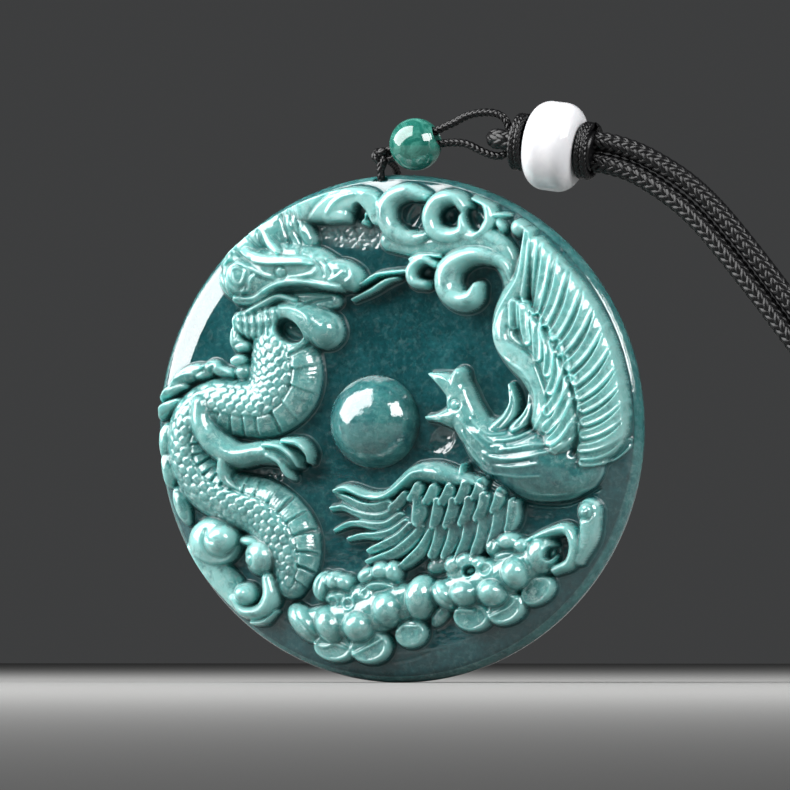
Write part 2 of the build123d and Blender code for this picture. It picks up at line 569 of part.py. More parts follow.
def tube(name, points, diameter):
    """A round cord along straight runs joined by arcs, each as large as its two runs allow."""
    points = [Vector(*p) for p in points]
    radii = []
    for a, b, c in zip(points[:-2], points[1:-1], points[2:]):
        turn = math.radians((b - a).get_angle(c - b))
        run = min((b - a).length, (c - b).length)
        radii.append(ARC_SHARE * run / math.tan(turn / 2))
    path = FilletPolyline(*points, radius=radii) if len(points) > 2 else Line(*points)
    section = Plane(origin=path @ 0, z_dir=path % 0) * Circle(diameter / 2)
    solid = sweep(section, path=path)
    expected = math.pi * diameter**2 / 4 * path.length
    print(f"{name}: length {path.length:.1f}, least radius {min(radii):.2f}, "
          f"volume share {solid.volume / expected:.4f}")
    return solid


# Places that follow from the sizes
KNOT = Vector(BORE_OFFSET, 0, DISC_RADIUS + KNOT_GAP + KNOT_DIAMETER / 2)
LEAN = Vector(math.cos(math.radians(BEAD_LEAN)), 0, math.sin(math.radians(BEAD_LEAN)))
LEAN_SIDE = Vector(-LEAN.Z, 0, LEAN.X)
BEAD = KNOT + LEAN * (KNOT_DIAMETER / 2 + SEAT_GAP + BEAD_DIAMETER / 2)
HITCH_X = BEAD.X + BEAD_DIAMETER / 2 * LEAN.X + HITCH_REACH
AXIS = Vector(math.cos(math.radians(GROUP_TILT)), 0, -math.sin(math.radians(GROUP_TILT)))
AXIS_SIDE = Vector(-AXIS.Z, 0, AXIS.X)
CORE_HALF = WHITE_WIDTH / 2 + SEAT_GAP + WINDING_WIDTH
EYE_BACK = THREAD_DIAMETER / 2 + SEAT_GAP
WHITE = Vector(HITCH_X + (CORE_HALF + EYE_BACK) * AXIS.X, 0, DISC_RADIUS + WHITE_RISE)
EYE = WHITE - AXIS * (CORE_HALF + EYE_BACK)


def make_knot():
    """The small overhand knot above the disc, drawn up into a ball."""
    return Pos(KNOT) * Sphere(KNOT_DIAMETER / 2)


def make_hanger():
    """The thin cord from the knot down through the disc's bore and up behind the rim to the knot."""
    start, end = bore_line()
    way = (end - start).normalized()
    inlet = start + way * (BORE_DIAMETER * 2 - THREAD_DIAMETER)
    clear = KNOT_DIAMETER / 2 + SEAT_GAP / 2
    points = [KNOT + (inlet - KNOT).normalized() * clear, inlet]
    points.append(end - way * (BORE_DIAMETER - THREAD_DIAMETER))
    for heading, run in BACK_RUNS:
        turn = math.radians(heading)
        points.append(points[-1] + Vector(0, math.cos(turn), math.sin(turn)) * run)
    points.append(KNOT + (points[-1] - KNOT).normalized() * clear)
    return tube("hanger_cord", points, THREAD_DIAMETER)


def make_bead():
    """The round jade bead, drilled along its leaning axis."""
    reach = LEAN * BEAD_DIAMETER
    return Pos(BEAD) * Sphere(BEAD_DIAMETER / 2) - rod(BEAD - reach, BEAD + reach, BEAD_BORE)


def make_hitch():
    """The thin cord's loop: twice through the jade bead and once through the braided eye."""
    reach = BEAD_DIAMETER / 2
    start = KNOT_DIAMETER / 2 + SEAT_GAP / 2
    offset = LEAN_SIDE * LANE_OFFSET
    near = KNOT + LEAN * math.sqrt(start**2 - LANE_OFFSET**2)
    upper = BEAD + LEAN * (reach + EXIT_RUN) + offset
    lower = BEAD + LEAN * (reach + EXIT_RUN) - offset
    around = [EYE + Vector(x, 0, z) for x, z in HITCH_ROUTE]
    points = [near + offset, upper] + around + [lower, near - offset]
    return tube("hitch_loop", points, THREAD_DIAMETER)


def make_eye():
    """The doubled end of the braided cord, a tight bend that the thin cord passes through."""
    plane = Plane(origin=EYE, x_dir=AXIS, z_dir=AXIS_SIDE)
    leg = EYE_BACK
    path = Line((leg, EYE_RADIUS), (0, EYE_RADIUS)) + ThreePointArc(
        (0, EYE_RADIUS), (-EYE_RADIUS, 0), (0, -EYE_RADIUS)) + Line((0, -EYE_RADIUS), (leg, -EYE_RADIUS))
    path = plane * path
    wire = Wire(path.edges())
    section = Plane(origin=wire @ 0, z_dir=wire % 0) * Circle(STRAND_DIAMETER / 2)
    return sweep(section, path=wire)


def make_core():
    """The bound cord inside the white bead, a plain round rod from face to face."""
    return rod(WHITE - AXIS * CORE_HALF, WHITE + AXIS * CORE_HALF, CORE_DIAMETER)


def make_winding(side):
    """One winding round the core, beside the white bead: a ring with a rounded rim."""
    centre = WHITE + AXIS * side * (WHITE_WIDTH / 2 + SEAT_GAP + WINDING_WIDTH / 2)
    bore = CORE_DIAMETER / 2 + CORE_CLEARANCE / 2
    outer = WINDING_DIAMETER / 2
    half = WINDING_WIDTH / 2
    round_off = min(half, outer - bore) * WINDING_ROUND
    with BuildSketch(Plane.XZ) as outline:
        with Locations(((bore + outer) / 2, 0)):
            Rectangle(outer - bore, 2 * half)
        fillet(outline.vertices().group_by(Axis.X)[-1], round_off)
    return Plane(origin=centre, z_dir=AXIS) * revolve(outline.sketch, Axis.Z)


def make_white_bead():
    """The white jade bead: a drum with flat ends, well rounded rims and a bore for the core."""
    bore = CORE_DIAMETER / 2 + CORE_CLEARANCE
    radius = WHITE_DIAMETER / 2
    with BuildSketch(Plane.XZ) as outline:
        with Locations(((bore + radius) / 2, 0)):
            Rectangle(radius - bore, WHITE_WIDTH)
        fillet(outline.vertices().group_by(Axis.X)[-1], radius - bore - WHITE_LIP)
    return Plane(origin=WHITE, z_dir=AXIS) * revolve(outline.sketch, Axis.Z)


def strand_points(side, route):
    """A strand's points: straight out of the core's face, then its chosen route up to the neck."""
    start = WHITE + AXIS * CORE_HALF + AXIS_SIDE * side * STRAND_SPACING / 2
    return [start, start + AXIS * FIRST_RUN] + [(x, 0, z) for x, z in route]


def make_neck_cord():
    """The braided loop, one cord: out of the core, up to the neck and back to the core."""
    points = strand_points(1, INNER_ROUTE) + strand_points(-1, OUTER_ROUTE)[::-1]
    return tube("neck_cord", points, STRAND_DIAMETER)


PIECES = {
    "jade_disc": make_disc,
    "hanger_knot": make_knot,
    "hanger_cord": make_hanger,
    "jade_bead": make_bead,
    "hitch_loop": make_hitch,
    "braided_eye": make_eye,
    "cord_core": make_core,
    "left_winding": lambda: make_winding(-1),
    "right_winding": lambda: make_winding(1),
    "white_bead": make_white_bead,
    "neck_cord": make_neck_cord,
}

os.makedirs("parts", exist_ok=True)
to_neck = Pos(-NECK_X, 0, STRAND_DIAMETER / 2 - NECK_Z)
for name, make in PIECES.items():
    piece = to_neck * make()
    print(f"{name}: volume {piece.volume:.1f}")
    export_step(piece, f"parts/{name}.step")
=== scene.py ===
"""A carved jade pendant, dragon and phoenix round a pearl, hung by beads from a double braided neck cord.

Every length is a named size in millimetres unless its name or comment says otherwise, and one function
turns layout points, measured from the disc's centre, into metres in the part's own frame.
"""

import logging
import math
from dataclasses import dataclass, field
from enum import Enum

import bpy
import numpy as np
from mathutils import Matrix, Vector


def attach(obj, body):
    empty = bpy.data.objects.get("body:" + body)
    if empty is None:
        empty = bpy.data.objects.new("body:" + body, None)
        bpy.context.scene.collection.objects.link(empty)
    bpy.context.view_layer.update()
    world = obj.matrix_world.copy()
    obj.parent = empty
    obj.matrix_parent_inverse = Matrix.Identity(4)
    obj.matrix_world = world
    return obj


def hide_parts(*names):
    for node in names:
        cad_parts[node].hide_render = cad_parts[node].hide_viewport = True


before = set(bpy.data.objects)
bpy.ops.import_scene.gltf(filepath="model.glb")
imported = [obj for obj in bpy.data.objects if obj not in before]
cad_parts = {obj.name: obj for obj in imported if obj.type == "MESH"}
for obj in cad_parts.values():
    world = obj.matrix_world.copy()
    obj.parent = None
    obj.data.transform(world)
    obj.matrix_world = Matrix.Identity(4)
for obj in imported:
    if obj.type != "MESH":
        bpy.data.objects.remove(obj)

LOG = logging.getLogger("pendant")
MM = 0.001

# The disc's centre in the part's frame, whose origin is where the cord rests on the neck
DISC_CENTRE = (-88.0, 0.0, -125.4)

Grid = np.ndarray
Rows = list[tuple[float, ...]]
Socket = bpy.types.NodeSocket
Tree = bpy.types.NodeTree


def place(x: float, height: float, z: float) -> tuple[float, float, float]:
    """Turn a layout point into metres in the part's frame.

    Args:
        x: Distance to the right of the disc's centre.
        height: Distance in front of the disc's middle plane.
        z: Distance above the disc's centre.

    Returns:
        The point in metres.
    """
    cx, cy, cz = DISC_CENTRE
    return ((cx + x) * MM, (cy - height) * MM, (cz + z) * MM)


def linear(code: str) -> tuple[float, float, float, float]:
    """Turn an sRGB hex value into a linear colour.

    Args:
        code: Six hex digits.

    Returns:
        Linear red, green and blue with full alpha.
    """
    parts = [int(code[k:k + 2], 16) / 255 for k in (0, 2, 4)]
    low = [c / 12.92 if c <= 0.04045 else ((c + 0.055) / 1.055) ** 2.4 for c in parts]
    return (low[0], low[1], low[2], 1.0)


def per_metre(size_mm: float) -> float:
    """Texture scale that makes a pattern's features this many millimetres across."""
    return 1.0 / (size_mm * MM)


def add_node(tree: Tree, kind: str, inputs: dict | None = None, **settings: object) -> bpy.types.Node:
    """Add one shader node with its settings and inputs.

    Args:
        tree: The node tree that it goes into.
        kind: The node's Blender type name.
        inputs: Socket names or numbers, with the values that they hold or the output sockets that feed them.
        **settings: Attributes of the node itself.

    Returns:
        The new node.
    """
    node = tree.nodes.new(kind)
    for name, value in settings.items():
        setattr(node, name, value)
    for socket, value in (inputs or {}).items():
        if isinstance(value, Socket):
            tree.links.new(value, node.inputs[socket])
        else:
            node.inputs[socket].default_value = value
    return node


def reckon(tree: Tree, operation: str, *terms: float | Socket) -> Socket:
    """Add one step of arithmetic on numbers and sockets, and return its result."""
    return add_node(tree, "ShaderNodeMath", dict(enumerate(terms)), operation=operation).outputs[0]


def noise(tree: Tree, where: Socket, size_mm: float, detail: float, roughness: float = 0.5,
          distortion: float = 0.0) -> Socket:
    """Add a cloudy pattern.

    Args:
        tree: The node tree that it goes into.
        where: The place that the pattern follows.
        size_mm: How far its clouds reach across.
        detail: How many finer patterns lie in it.
        roughness: How strong these are.
        distortion: How far it is swirled.

    Returns:
        The pattern, from 0 to 1.
    """
    inputs = {"Vector": where, "Scale": per_metre(size_mm), "Detail": detail, "Roughness": roughness,
              "Distortion": distortion}
    return add_node(tree, "ShaderNodeTexNoise", inputs).outputs[0]


def mapped(tree: Tree, value: Socket, start: tuple[float, float], end: tuple[float, float]) -> Socket:
    """Turn one range of a value into another, and keep it inside that."""
    inputs = {"Value": value, "From Min": start[0], "From Max": start[1], "To Min": end[0], "To Max": end[1]}
    return add_node(tree, "ShaderNodeMapRange", inputs).outputs[0]


def mixed(tree: Tree, factor: Socket, under: Socket | tuple[float, ...], over: str) -> Socket:
    """Lay a hex colour over another colour by a factor."""
    inputs = {"Factor": factor, "A": under, "B": linear(over)}
    return add_node(tree, "ShaderNodeMix", inputs, data_type="RGBA").outputs["Result"]


def new_material(name: str) -> tuple[bpy.types.Material, Tree, Socket]:
    """Start a material with an empty node tree.

    Args:
        name: The material's name.

    Returns:
        The material, its tree and the place in the object that patterns follow.
    """
    material = bpy.data.materials.new(name)
    material.use_nodes = True
    tree = material.node_tree
    tree.nodes.clear()
    return material, tree, add_node(tree, "ShaderNodeTexCoord").outputs["Object"]


def close_material(tree: Tree, inputs: dict, **settings: object) -> None:
    """Add the material's one shader, with its inputs and settings, and the output."""
    shader = add_node(tree, "ShaderNodeBsdfPrincipled", inputs, **settings)
    add_node(tree, "ShaderNodeOutputMaterial", {"Surface": shader.outputs[0]})


def add_object(name: str, data: bpy.types.ID) -> bpy.types.Object:
    """Make an object of a mesh, curve, light or camera and link it to the scene.

    Args:
        name: The object's name.
        data: Its mesh, curve, light or camera.

    Returns:
        The new object.
    """
    made = bpy.data.objects.new(name, data)
    bpy.context.scene.collection.objects.link(made)
    return made


def mesh_object(name: str, points: Grid, faces: Grid, normals: Grid | None = None) -> bpy.types.Object:
    """Make an object from points in metres and faces that all have the same number of corners.

    Args:
        name: The object's and mesh's name.
        points: Point places, a row each.
        faces: Point numbers, a row a face.
        normals: Shading normals for the points, where the faces are too coarse to give them.

    Returns:
        The object, smooth shaded and linked to the scene.
    """
    mesh = bpy.data.meshes.new(name)
    count, corners = faces.shape
    mesh.vertices.add(len(points))
    mesh.vertices.foreach_set("co", np.ascontiguousarray(points, dtype=np.float32).ravel())
    mesh.loops.add(count * corners)
    mesh.loops.foreach_set("vertex_index", np.ascontiguousarray(faces, dtype=np.int32).ravel())
    mesh.polygons.add(count)
    mesh.polygons.foreach_set("loop_start", np.arange(0, count * corners, corners, dtype=np.int32))
    mesh.polygons.foreach_set("use_smooth", np.ones(count, dtype=bool))
    mesh.update(calc_edges=True)
    mesh.validate()
    if normals is not None:
        mesh.normals_split_custom_set_from_vertices(normals.tolist())
    return add_object(name, mesh)


def ring_faces(number: Grid) -> Grid:
    """Faces between rows of point numbers, each row a closed ring."""
    after = np.roll(number, -1, axis=1)
    return np.stack([number[:-1], number[1:], after[1:], after[:-1]], axis=-1).reshape(-1, 4)


def paint(piece: bpy.types.Object, values: Grid) -> None:
    """Store a carved piece's tone, painted light and shade, and rough ground, which its material reads.

    Args:
        piece: The piece.
        values: Tone with painted glow and highlights, groove with painted shade and dullness, edge with a
            painted ridge highlight, and rough ground of each point, or the first of them.
    """
    layer = piece.data.color_attributes.new("carving", "FLOAT_COLOR", "POINT")
    packed = np.zeros((len(values), 4), dtype=np.float32)
    packed[:, :values.shape[1]] = values
    layer.data.foreach_set("color", packed.ravel())


def finish_piece(piece: bpy.types.Object, material: bpy.types.Material, nodes: tuple[str, ...]) -> None:
    """Dress a piece, let it stand for the part's nodes and let it ride on the body.

    Args:
        piece: The finished object.
        material: Its material.
        nodes: The nodes of the part that it replaces.
    """
    piece.data.materials.clear()
    piece.data.materials.append(material)
    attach(piece, "root")
    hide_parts(*nodes)
    LOG.info("%s: %d points, for %s", piece.name, len(piece.data.vertices), ", ".join(nodes))


def smooth_rows(rows: Rows, parts: int = 12) -> Grid:
    """Add points between rows of numbers on a smooth curve through them all.

    Args:
        rows: The chosen rows.
        parts: How many steps lead from one row to the next.

    Returns:
        The denser rows.
    """
    table = np.array(rows, float)
    ends = np.vstack([2 * table[0] - table[1], table, 2 * table[-1] - table[-2]])
    out = []
    for k in range(1, len(ends) - 2):
        a, b, c, d = ends[k - 1:k + 3]
        for t in np.arange(parts) / parts:
            bend = (2 * a - 5 * b + 4 * c - d) * t**2 + (3 * b - a - 3 * c + d) * t**3
            out.append(0.5 * (2 * b + (c - a) * t + bend))
    out.append(table[-1])
    return np.array(out)


def soften(values: Grid, passes: int) -> Grid:
    """Blur a grid with small steps, each a quarter, a half and a quarter both ways.

    Args:
        values: The grid to blur.
        passes: How many steps it takes.

    Returns:
        The blurred grid.
    """
    out = values.copy()
    for _ in range(passes):
        for axis in (0, 1):
            out = 0.5 * out + 0.25 * (np.roll(out, 1, axis) + np.roll(out, -1, axis))
    return out


def haze(values: Grid, width: float) -> Grid:
    """Spread a grid's values softly, as light spreads in the stone.

    Args:
        values: The grid.
        width: How far they spread, in cells.

    Returns:
        The spread grid.
    """
    rows = np.fft.fftfreq(values.shape[0])[:, None]
    columns = np.fft.rfftfreq(values.shape[1])
    spread = np.exp(-2 * (math.pi * width) ** 2 * (rows**2 + columns**2))
    return np.fft.irfft2(np.fft.rfft2(values) * spread, values.shape)


def bell(values: Grid, middle: float, width: float) -> Grid:
    """A smooth hump that is 1 where the values are at its middle."""
    return np.exp(-((values - middle) / width) ** 2)


def edge_fade(share: Grid, width: float) -> Grid:
    """1 inside a form, falling to 0 at its edge, where the share is 1."""
    return np.clip((1 - share) / width, 0, 1)


class Owner(Enum):
    """The parts of the carving, each a piece of its own."""

    FIELD = "sunk_field"
    CLOUD = "cloud_relief"
    DRAGON = "dragon_relief"
    PHOENIX = "phoenix_relief"
    TAIL = "phoenix_tail_relief"
    PEONY = "peony_relief"


class Skin(Enum):
    """What the surface of a carved form is worked into."""

    PLAIN = "plain"
    SCALES = "scales"
    QUILL = "quill"
    TUFT = "tuft"


@dataclass(frozen=True)
class Trace:
    """Where the cells of a window lie against a smooth line, in hundredths of the disc's radius."""

    cut: tuple[slice, slice]
    share: Grid
    side: Grid
    along: Grid
    half: Grid
    top: Grid


@dataclass
class Carving:
    """The carved face as heights over a square grid, measured like the part's own carving.

    Places and widths are hundredths of the disc's radius, heights are millimetres in front of the
    disc's middle plane, and a form's own height is a share of the relief above the field.
    """

    disc_radius: float = 29.0
    field_height: float = 1.6
    relief_height: float = 4.4
    field_share: float = 0.885
    chamfer_share: float = 0.955
    chamfer_angle: float = 22.0
    edge_share: float = 0.976
    fade_width: float = 0.018
    grid_step: float = 0.105
    scale_pitch: float = 4.1
    scale_rise: float = 0.2
    plate_pitch: float = 5.0
    plate_rise: float = 0.34
    quill_rise: float = 0.16
    comb_turns: float = 9.0
    blade_tilt: float = 0.44
    burr_mark: float = 0.12
    pocket_share: float = 0.34
    full_tone: float = 0.5
    # Painted glow: low ground near raised forms is made paler, as if lit by light spread through the stone
    painted_glow: float = 0.5
    painted_glow_reach: float = 1.3
    # Painted highlight on crests and painted shade on flanks, measured against the mean height over this
    # reach
    crest_reach: float = 0.9
    painted_crest_contrast: float = 0.5
    # Hollows and grooves get painted shade as well as a duller polish
    wide_passes: int = 24
    wide_groove: float = 0.85
    fine_passes: int = 4
    fine_groove: float = 0.12
    # How sharp a ridge must be to take the painted highlight
    ridge_highlight_depth: float = 0.1
    x: Grid = field(init=False)
    z: Grid = field(init=False)
    height: Grid = field(init=False)
    owner: Grid = field(init=False)
    rough: Grid = field(init=False)

    def __post_init__(self) -> None:
        """Lay out the grid and the plain face."""
        count = int(round(self.disc_radius / self.grid_step))
        line = np.linspace(-100, 100, 2 * count + 1)
        self.x, self.z = np.meshgrid(line, line)
        self.step = line[1] - line[0]
        self.cell = self.step * self.disc_radius / 100
        self.radius = np.hypot(self.x, self.z) * self.disc_radius / 100
        self.base = self.base_height(self.radius)
        self.height = self.base.copy()
        self.owner = np.zeros(self.height.shape, dtype=np.int8)
        self.rough = np.zeros(self.height.shape)

    def rim_bend(self) -> tuple[float, float, float, float]:
        """Sizes of the bend between the chamfer and the rim's widest line.

        Returns:
            The chamfer's outer radius and height there, the bend's radius and the chamfer's tilt in radians.
        """
        tilt = math.radians(self.chamfer_angle)
        radius = self.disc_radius * self.chamfer_share
        fall = self.disc_radius * (self.chamfer_share - self.field_share) * math.tan(tilt)
        return radius, self.field_height - fall, (self.disc_radius - radius) / (1 - math.sin(tilt)), tilt

    def base_height(self, radius: Grid | float) -> Grid | float:
        """Height of the plain face: a flat field, a chamfer and the start of the rim's bend.

        Args:
            radius: Distance from the disc's centre in millimetres.

        Returns:
            Height in front of the disc's middle plane, in millimetres.
        """
        edge, height, bend, tilt = self.rim_bend()
        turns = np.linspace(tilt, math.pi / 2, 24)
        radii = [0, self.disc_radius * self.field_share, *(edge + bend * (np.sin(turns) - math.sin(tilt)))]
        heights = [self.field_height, self.field_height, *(height - bend * (math.cos(tilt) - np.cos(turns)))]
        return np.interp(radius, radii, heights)

    def window(self, low_x: float, high_x: float, low_z: float, high_z: float) -> tuple[slice, slice]:
        """The slices of the grid that cover a box.

        Args:
            low_x: The box's left side in hundredths.
            high_x: Its right side.
            low_z: Its foot.
            high_z: Its top.

        Returns:
            The rows' slice and the columns' slice.
        """
        last = len(self.x) - 1
        ends = np.floor((np.array([low_x, high_x, low_z, high_z]) + 100) / self.step)
        marks = np.clip(ends, 0, last).astype(int).tolist()
        return slice(marks[2], marks[3] + 2), slice(marks[0], marks[1] + 2)

    def trace(self, rows: Rows) -> Trace:
        """Find each cell's nearest place on a smooth line.

        Args:
            rows: x, z, half width and height share of the line's chosen points.

        Returns:
            The trace over the window that the line's form covers.
        """
        dense = smooth_rows(rows)
        wide = dense[:, 2].max()
        low, high = dense.min(axis=0) - wide, dense.max(axis=0) + wide
        cut = self.window(low[0], high[0], low[1], high[1])
        x, z = self.x[cut], self.z[cut]
        share = np.full(x.shape, np.inf)
        side, along, half, top = (np.zeros(x.shape) for _ in range(4))
        done = 0.0
        for (x0, z0, w0, t0), (x1, z1, w1, t1) in zip(dense[:-1], dense[1:]):
            reach = max(w0, w1)
            near = self.window(min(x0, x1) - reach, max(x0, x1) + reach,
                               min(z0, z1) - reach, max(z0, z1) + reach)
            own = tuple(slice(n.start - c.start, n.stop - c.start) for n, c in zip(near, cut))
            dx, dz = x1 - x0, z1 - z0
            length = math.hypot(dx, dz)
            part = np.clip(((x[own] - x0) * dx + (z[own] - z0) * dz) / length**2, 0, 1)
            away_x, away_z = x[own] - x0 - part * dx, z[own] - z0 - part * dz
            width = w0 + (w1 - w0) * part
            found = np.hypot(away_x, away_z) / width
            closer = found < share[own]
            signed = np.sign(dx * away_z - dz * away_x) * found
            for layer, value in ((share, found), (side, signed), (along, done + part * length),
                                 (half, width), (top, t0 + (t1 - t0) * part)):
                layer[own] = np.where(closer, value, layer[own])
            done += length
        return Trace(cut, share, side, along, half, top)

    def raise_to(self, cut: tuple[slice, slice], surface: Grid, inside: Grid, owner: Owner) -> None:
        """Let a form's surface stand where it is higher than what is there, and note whose it is.

        Args:
            cut: The window that the form lies in.
            surface: The form's heights there.
            inside: Where the form reaches.
            owner: Whose form it is.
        """
        wins = inside & (surface > self.height[cut])
        self.height[cut] = np.where(wins, surface, self.height[cut])
        self.owner[cut] = np.where(wins, list(Owner).index(owner), self.owner[cut])

    def scales(self, trace: Trace, first: float, last: float) -> Grid:
        """Rows of round, slightly domed scales with a groove round each.

        Args:
            trace: Where the form's cells lie.
            first: The share across the form at which the rows start.
            last: The share at which they end.

        Returns:
            Heights to add in millimetres.
        """
        pitch, row_gap = self.scale_pitch, 0.8 * self.scale_pitch
        girth = trace.half * np.arcsin(np.clip(trace.side, -1, 1))
        best = np.full(girth.shape, 9.0)
        for shift in (0, 1):
            number = np.floor(girth / row_gap) + shift
            offset = (number % 2) * pitch / 2
            along = (trace.along - offset + pitch / 2) % pitch - pitch / 2
            best = np.minimum(best, np.hypot(along, girth - number * row_gap) / (pitch / 2))
        domed, rimmed, between = 0.75, 0.3, 0.35
        dome = domed * np.clip(1 - (best / 0.86) ** 4, 0, 1) * (1 - 0.5 * best**2)
        dome = dome + rimmed * bell(best, 0.7, 0.17) - between * (best > 1.0)
        inside = (trace.side > first) & (trace.side < last)
        return np.where(inside, self.scale_rise * dome * edge_fade(trace.share, 0.12), 0)

    def plates(self, trace: Trace, first: float) -> Grid:
        """Belly plates beyond a share across the form: each a low slope that ends at the next plate's edge.

        Args:
            trace: Where the form's cells lie.
            first: The share across the form at which they start, with a groove.

        Returns:
            Heights to add in millimetres.
        """
        groove = 1.2
        phase = (trace.along / self.plate_pitch) % 1
        slope = self.plate_rise * (phase - 0.5 - groove * bell(phase, 0.04, 0.06))
        border = -groove * self.scale_rise * bell(trace.side, first, 0.05)
        return (np.where(trace.side >= first, slope, 0) + border) * edge_fade(trace.share, 0.15)

    def quill(self, trace: Trace) -> Grid:
        """A feather's raised edges and its slightly hollow vane."""
        vane = np.clip(1 - (trace.share / 0.62) ** 2, 0, 1)
        return self.quill_rise * (bell(trace.share, 0.72, 0.13) - 0.5 * vane)

    def tuft(self, trace: Trace) -> Grid:
        """Long combed grooves along a form, as on a mane or a flame."""
        return 0.5 * self.quill_rise * np.cos(trace.side * self.comb_turns) * edge_fade(trace.share, 0.2)

    def ridge(self, rows: Rows, fullness: float, owner: Owner, skin: Skin, belly: float) -> None:
        """Raise a rounded form along a smooth line.

        Args:
            rows: x, z, half width and height share of the line's chosen points.
            fullness: Power of the section: 2 is round, more is flatter on top and steeper at the sides.
            owner: The part of the carving that it belongs to.
            skin: How its surface is worked.
            belly: The share across a scaled form at which its belly plates start.
        """
        trace = self.trace(rows)
        rise = np.sqrt(np.clip(1 - trace.share**fullness, 0, None))
        surface = self.field_height + self.relief_height * trace.top * rise
        if skin is Skin.SCALES:
            surface = surface + self.scales(trace, -1.0, belly) + self.plates(trace, belly)
        elif skin is Skin.QUILL:
            surface = surface + self.quill(trace)
        elif skin is Skin.TUFT:
            surface = surface + self.tuft(trace)
        self.raise_to(trace.cut, surface, trace.share < 1, owner)

    def blade(self, rows: Rows, owner: Owner) -> None:
        """A wing feather that lies on the next one: tilted across, with a thin raised edge on its high side.

        Args:
            rows: x, z, half width and height share of the line's chosen points, the high side on the right
                of the way from the root to the tip.
            owner: The part of the carving that it belongs to.
        """
        trace = self.trace(rows)
        rise = np.sqrt(np.clip(1 - trace.share**6, 0, None))
        across = -trace.side
        tilt = self.blade_tilt * (across + 0.6 * bell(across, 0.74, 0.15))
        surface = self.field_height + self.relief_height * trace.top * rise
        surface = surface + tilt * edge_fade(trace.share, 0.1)
        self.raise_to(trace.cut, surface, trace.share < 1, owner)

    def across(self, x: float, z: float, length: float, breadth: float, turn: float) -> tuple:
        """The window round an ellipse and each cell's distance from its middle in half sizes.

        Args:
            x: Its middle's x in hundredths.
            z: Its middle's z in hundredths.
            length: Half its length.
            breadth: Half its breadth.
            turn: How far its length is turned from x, in degrees.

        Returns:
            The window, and a grid that is 0 in the middle and 1 at the edge.
        """
        reach = max(length, breadth)
        cut = self.window(x - reach, x + reach, z - reach, z + reach)
        c, s = math.cos(math.radians(turn)), math.sin(math.radians(turn))
        dx, dz = self.x[cut] - x, self.z[cut] - z
        return cut, np.hypot((dx * c + dz * s) / length, (dz * c - dx * s) / breadth)

    def mound(self, row: tuple[float, ...], owner: Owner) -> None:
        """Raise a rounded boss on an ellipse.

        Args:
            row: x, z, half length, half breadth, turn, height share, fullness and the height in millimetres
                of a lip round a slightly dished middle, as on a petal or a small fin.
            owner: The part of the carving that it belongs to.
        """
        x, z, length, breadth, turn, top, fullness, *lip = row
        cut, share = self.across(x, z, length, breadth, turn)
        rise = np.sqrt(np.clip(1 - share**fullness, 0, None))
        surface = self.field_height + self.relief_height * top * rise
        if lip:
            surface = surface + lip[0] * (bell(share, 0.8, 0.12) - 0.8 * np.clip(1 - share**2, 0, 1))
        self.raise_to(cut, surface, share < 1, owner)

    def hollow(self, row: tuple[float, ...]) -> None:
        """Cut a dish down to the field, and a little under it.

        Args:
            row: x, z, half length, half breadth, turn and depth below the field in quarters of the relief,
                negative for a shallow dish whose floor stays above the field.
        """
        x, z, length, breadth, turn, depth = row
        cut, share = self.across(x, z, length, breadth, turn)
        floor = self.field_height - self.relief_height * depth / 4 * np.clip(1 - share**2, 0, None)
        edge = np.clip((share - 0.8) / 0.2, 0, 1)
        sunk = np.minimum(self.height[cut], floor * (1 - edge) + self.height[cut] * edge)
        self.height[cut] = np.where(share < 1, sunk, self.height[cut])

    def chisel(self, row: tuple[float, ...]) -> None:
        """Roughen the ground low in a pocket with the burr's small chance marks.

        Args:
            row: x, z, half length, half breadth, turn, depth of the marks in millimetres and their paleness.
        """
        x, z, length, breadth, turn, depth, pale = row
        cut, share = self.across(x, z, length, breadth, turn)
        chance = np.random.default_rng(len(share)).standard_normal(share.shape)
        marks = haze(chance, self.burr_mark / self.cell)
        marks /= marks.std()
        low = self.height[cut] < self.field_height + self.pocket_share * self.relief_height
        ragged, soft = 0.12, 0.3
        fade = edge_fade(share + ragged * marks, soft) * low
        self.height[cut] += depth * marks * fade
        self.rough[cut] = np.maximum(self.rough[cut], pale * fade * np.clip(0.75 + 0.4 * marks, 0, 1))

    def feather(self, row: tuple[float, ...], owner: Owner) -> None:
        """Raise a flat tail feather over what lies there, with a thin bead along its edges.

        Args:
            row: Root x, z, tip x, z, half width at both, lift in millimetres and sideways bow.
            owner: The part of the carving that it belongs to.
        """
        x0, z0, x1, z1, root, tip, lift, bow = row
        rows = []
        for t in (0, 0.2, 0.4, 0.6, 0.8, 1):
            side = bow * 4 * t * (1 - t)
            x = x0 + (x1 - x0) * t + (z1 - z0) * side
            z = z0 + (z1 - z0) * t - (x1 - x0) * side
            rows.append((x, z, root + (tip - root) * t, 0.0))
        trace = self.trace(rows)
        step = edge_fade(trace.share, 0.22)
        step = step * step * (3 - 2 * step)
        vane = np.clip(1 - (trace.share / 0.66) ** 2, 0, 1)
        bead, dish = 0.75, 0.3
        shape = 1 + bead * bell(trace.share, 0.76, 0.13) - dish * vane
        raised = self.height[trace.cut] + lift * step * shape
        self.raise_to(trace.cut, raised, trace.share < 1, owner)

    def score(self, rows: Rows, width: float, depth: float) -> None:
        """Cut a thin rounded groove along a smooth line, or raise a thin bead where depth is negative.

        Args:
            rows: x and z of the line's chosen points.
            width: Half width of the groove in millimetres.
            depth: Depth of the groove in millimetres.
        """
        spread, reach = 100 * width / self.disc_radius, 2.5
        trace = self.trace([(x, z, reach * spread, 0.0) for x, z in rows])
        cut_in = depth * np.exp(-(np.clip(trace.share, 0, 9) * reach) ** 2)
        self.height[trace.cut] -= np.where(trace.share < 1, cut_in, 0)

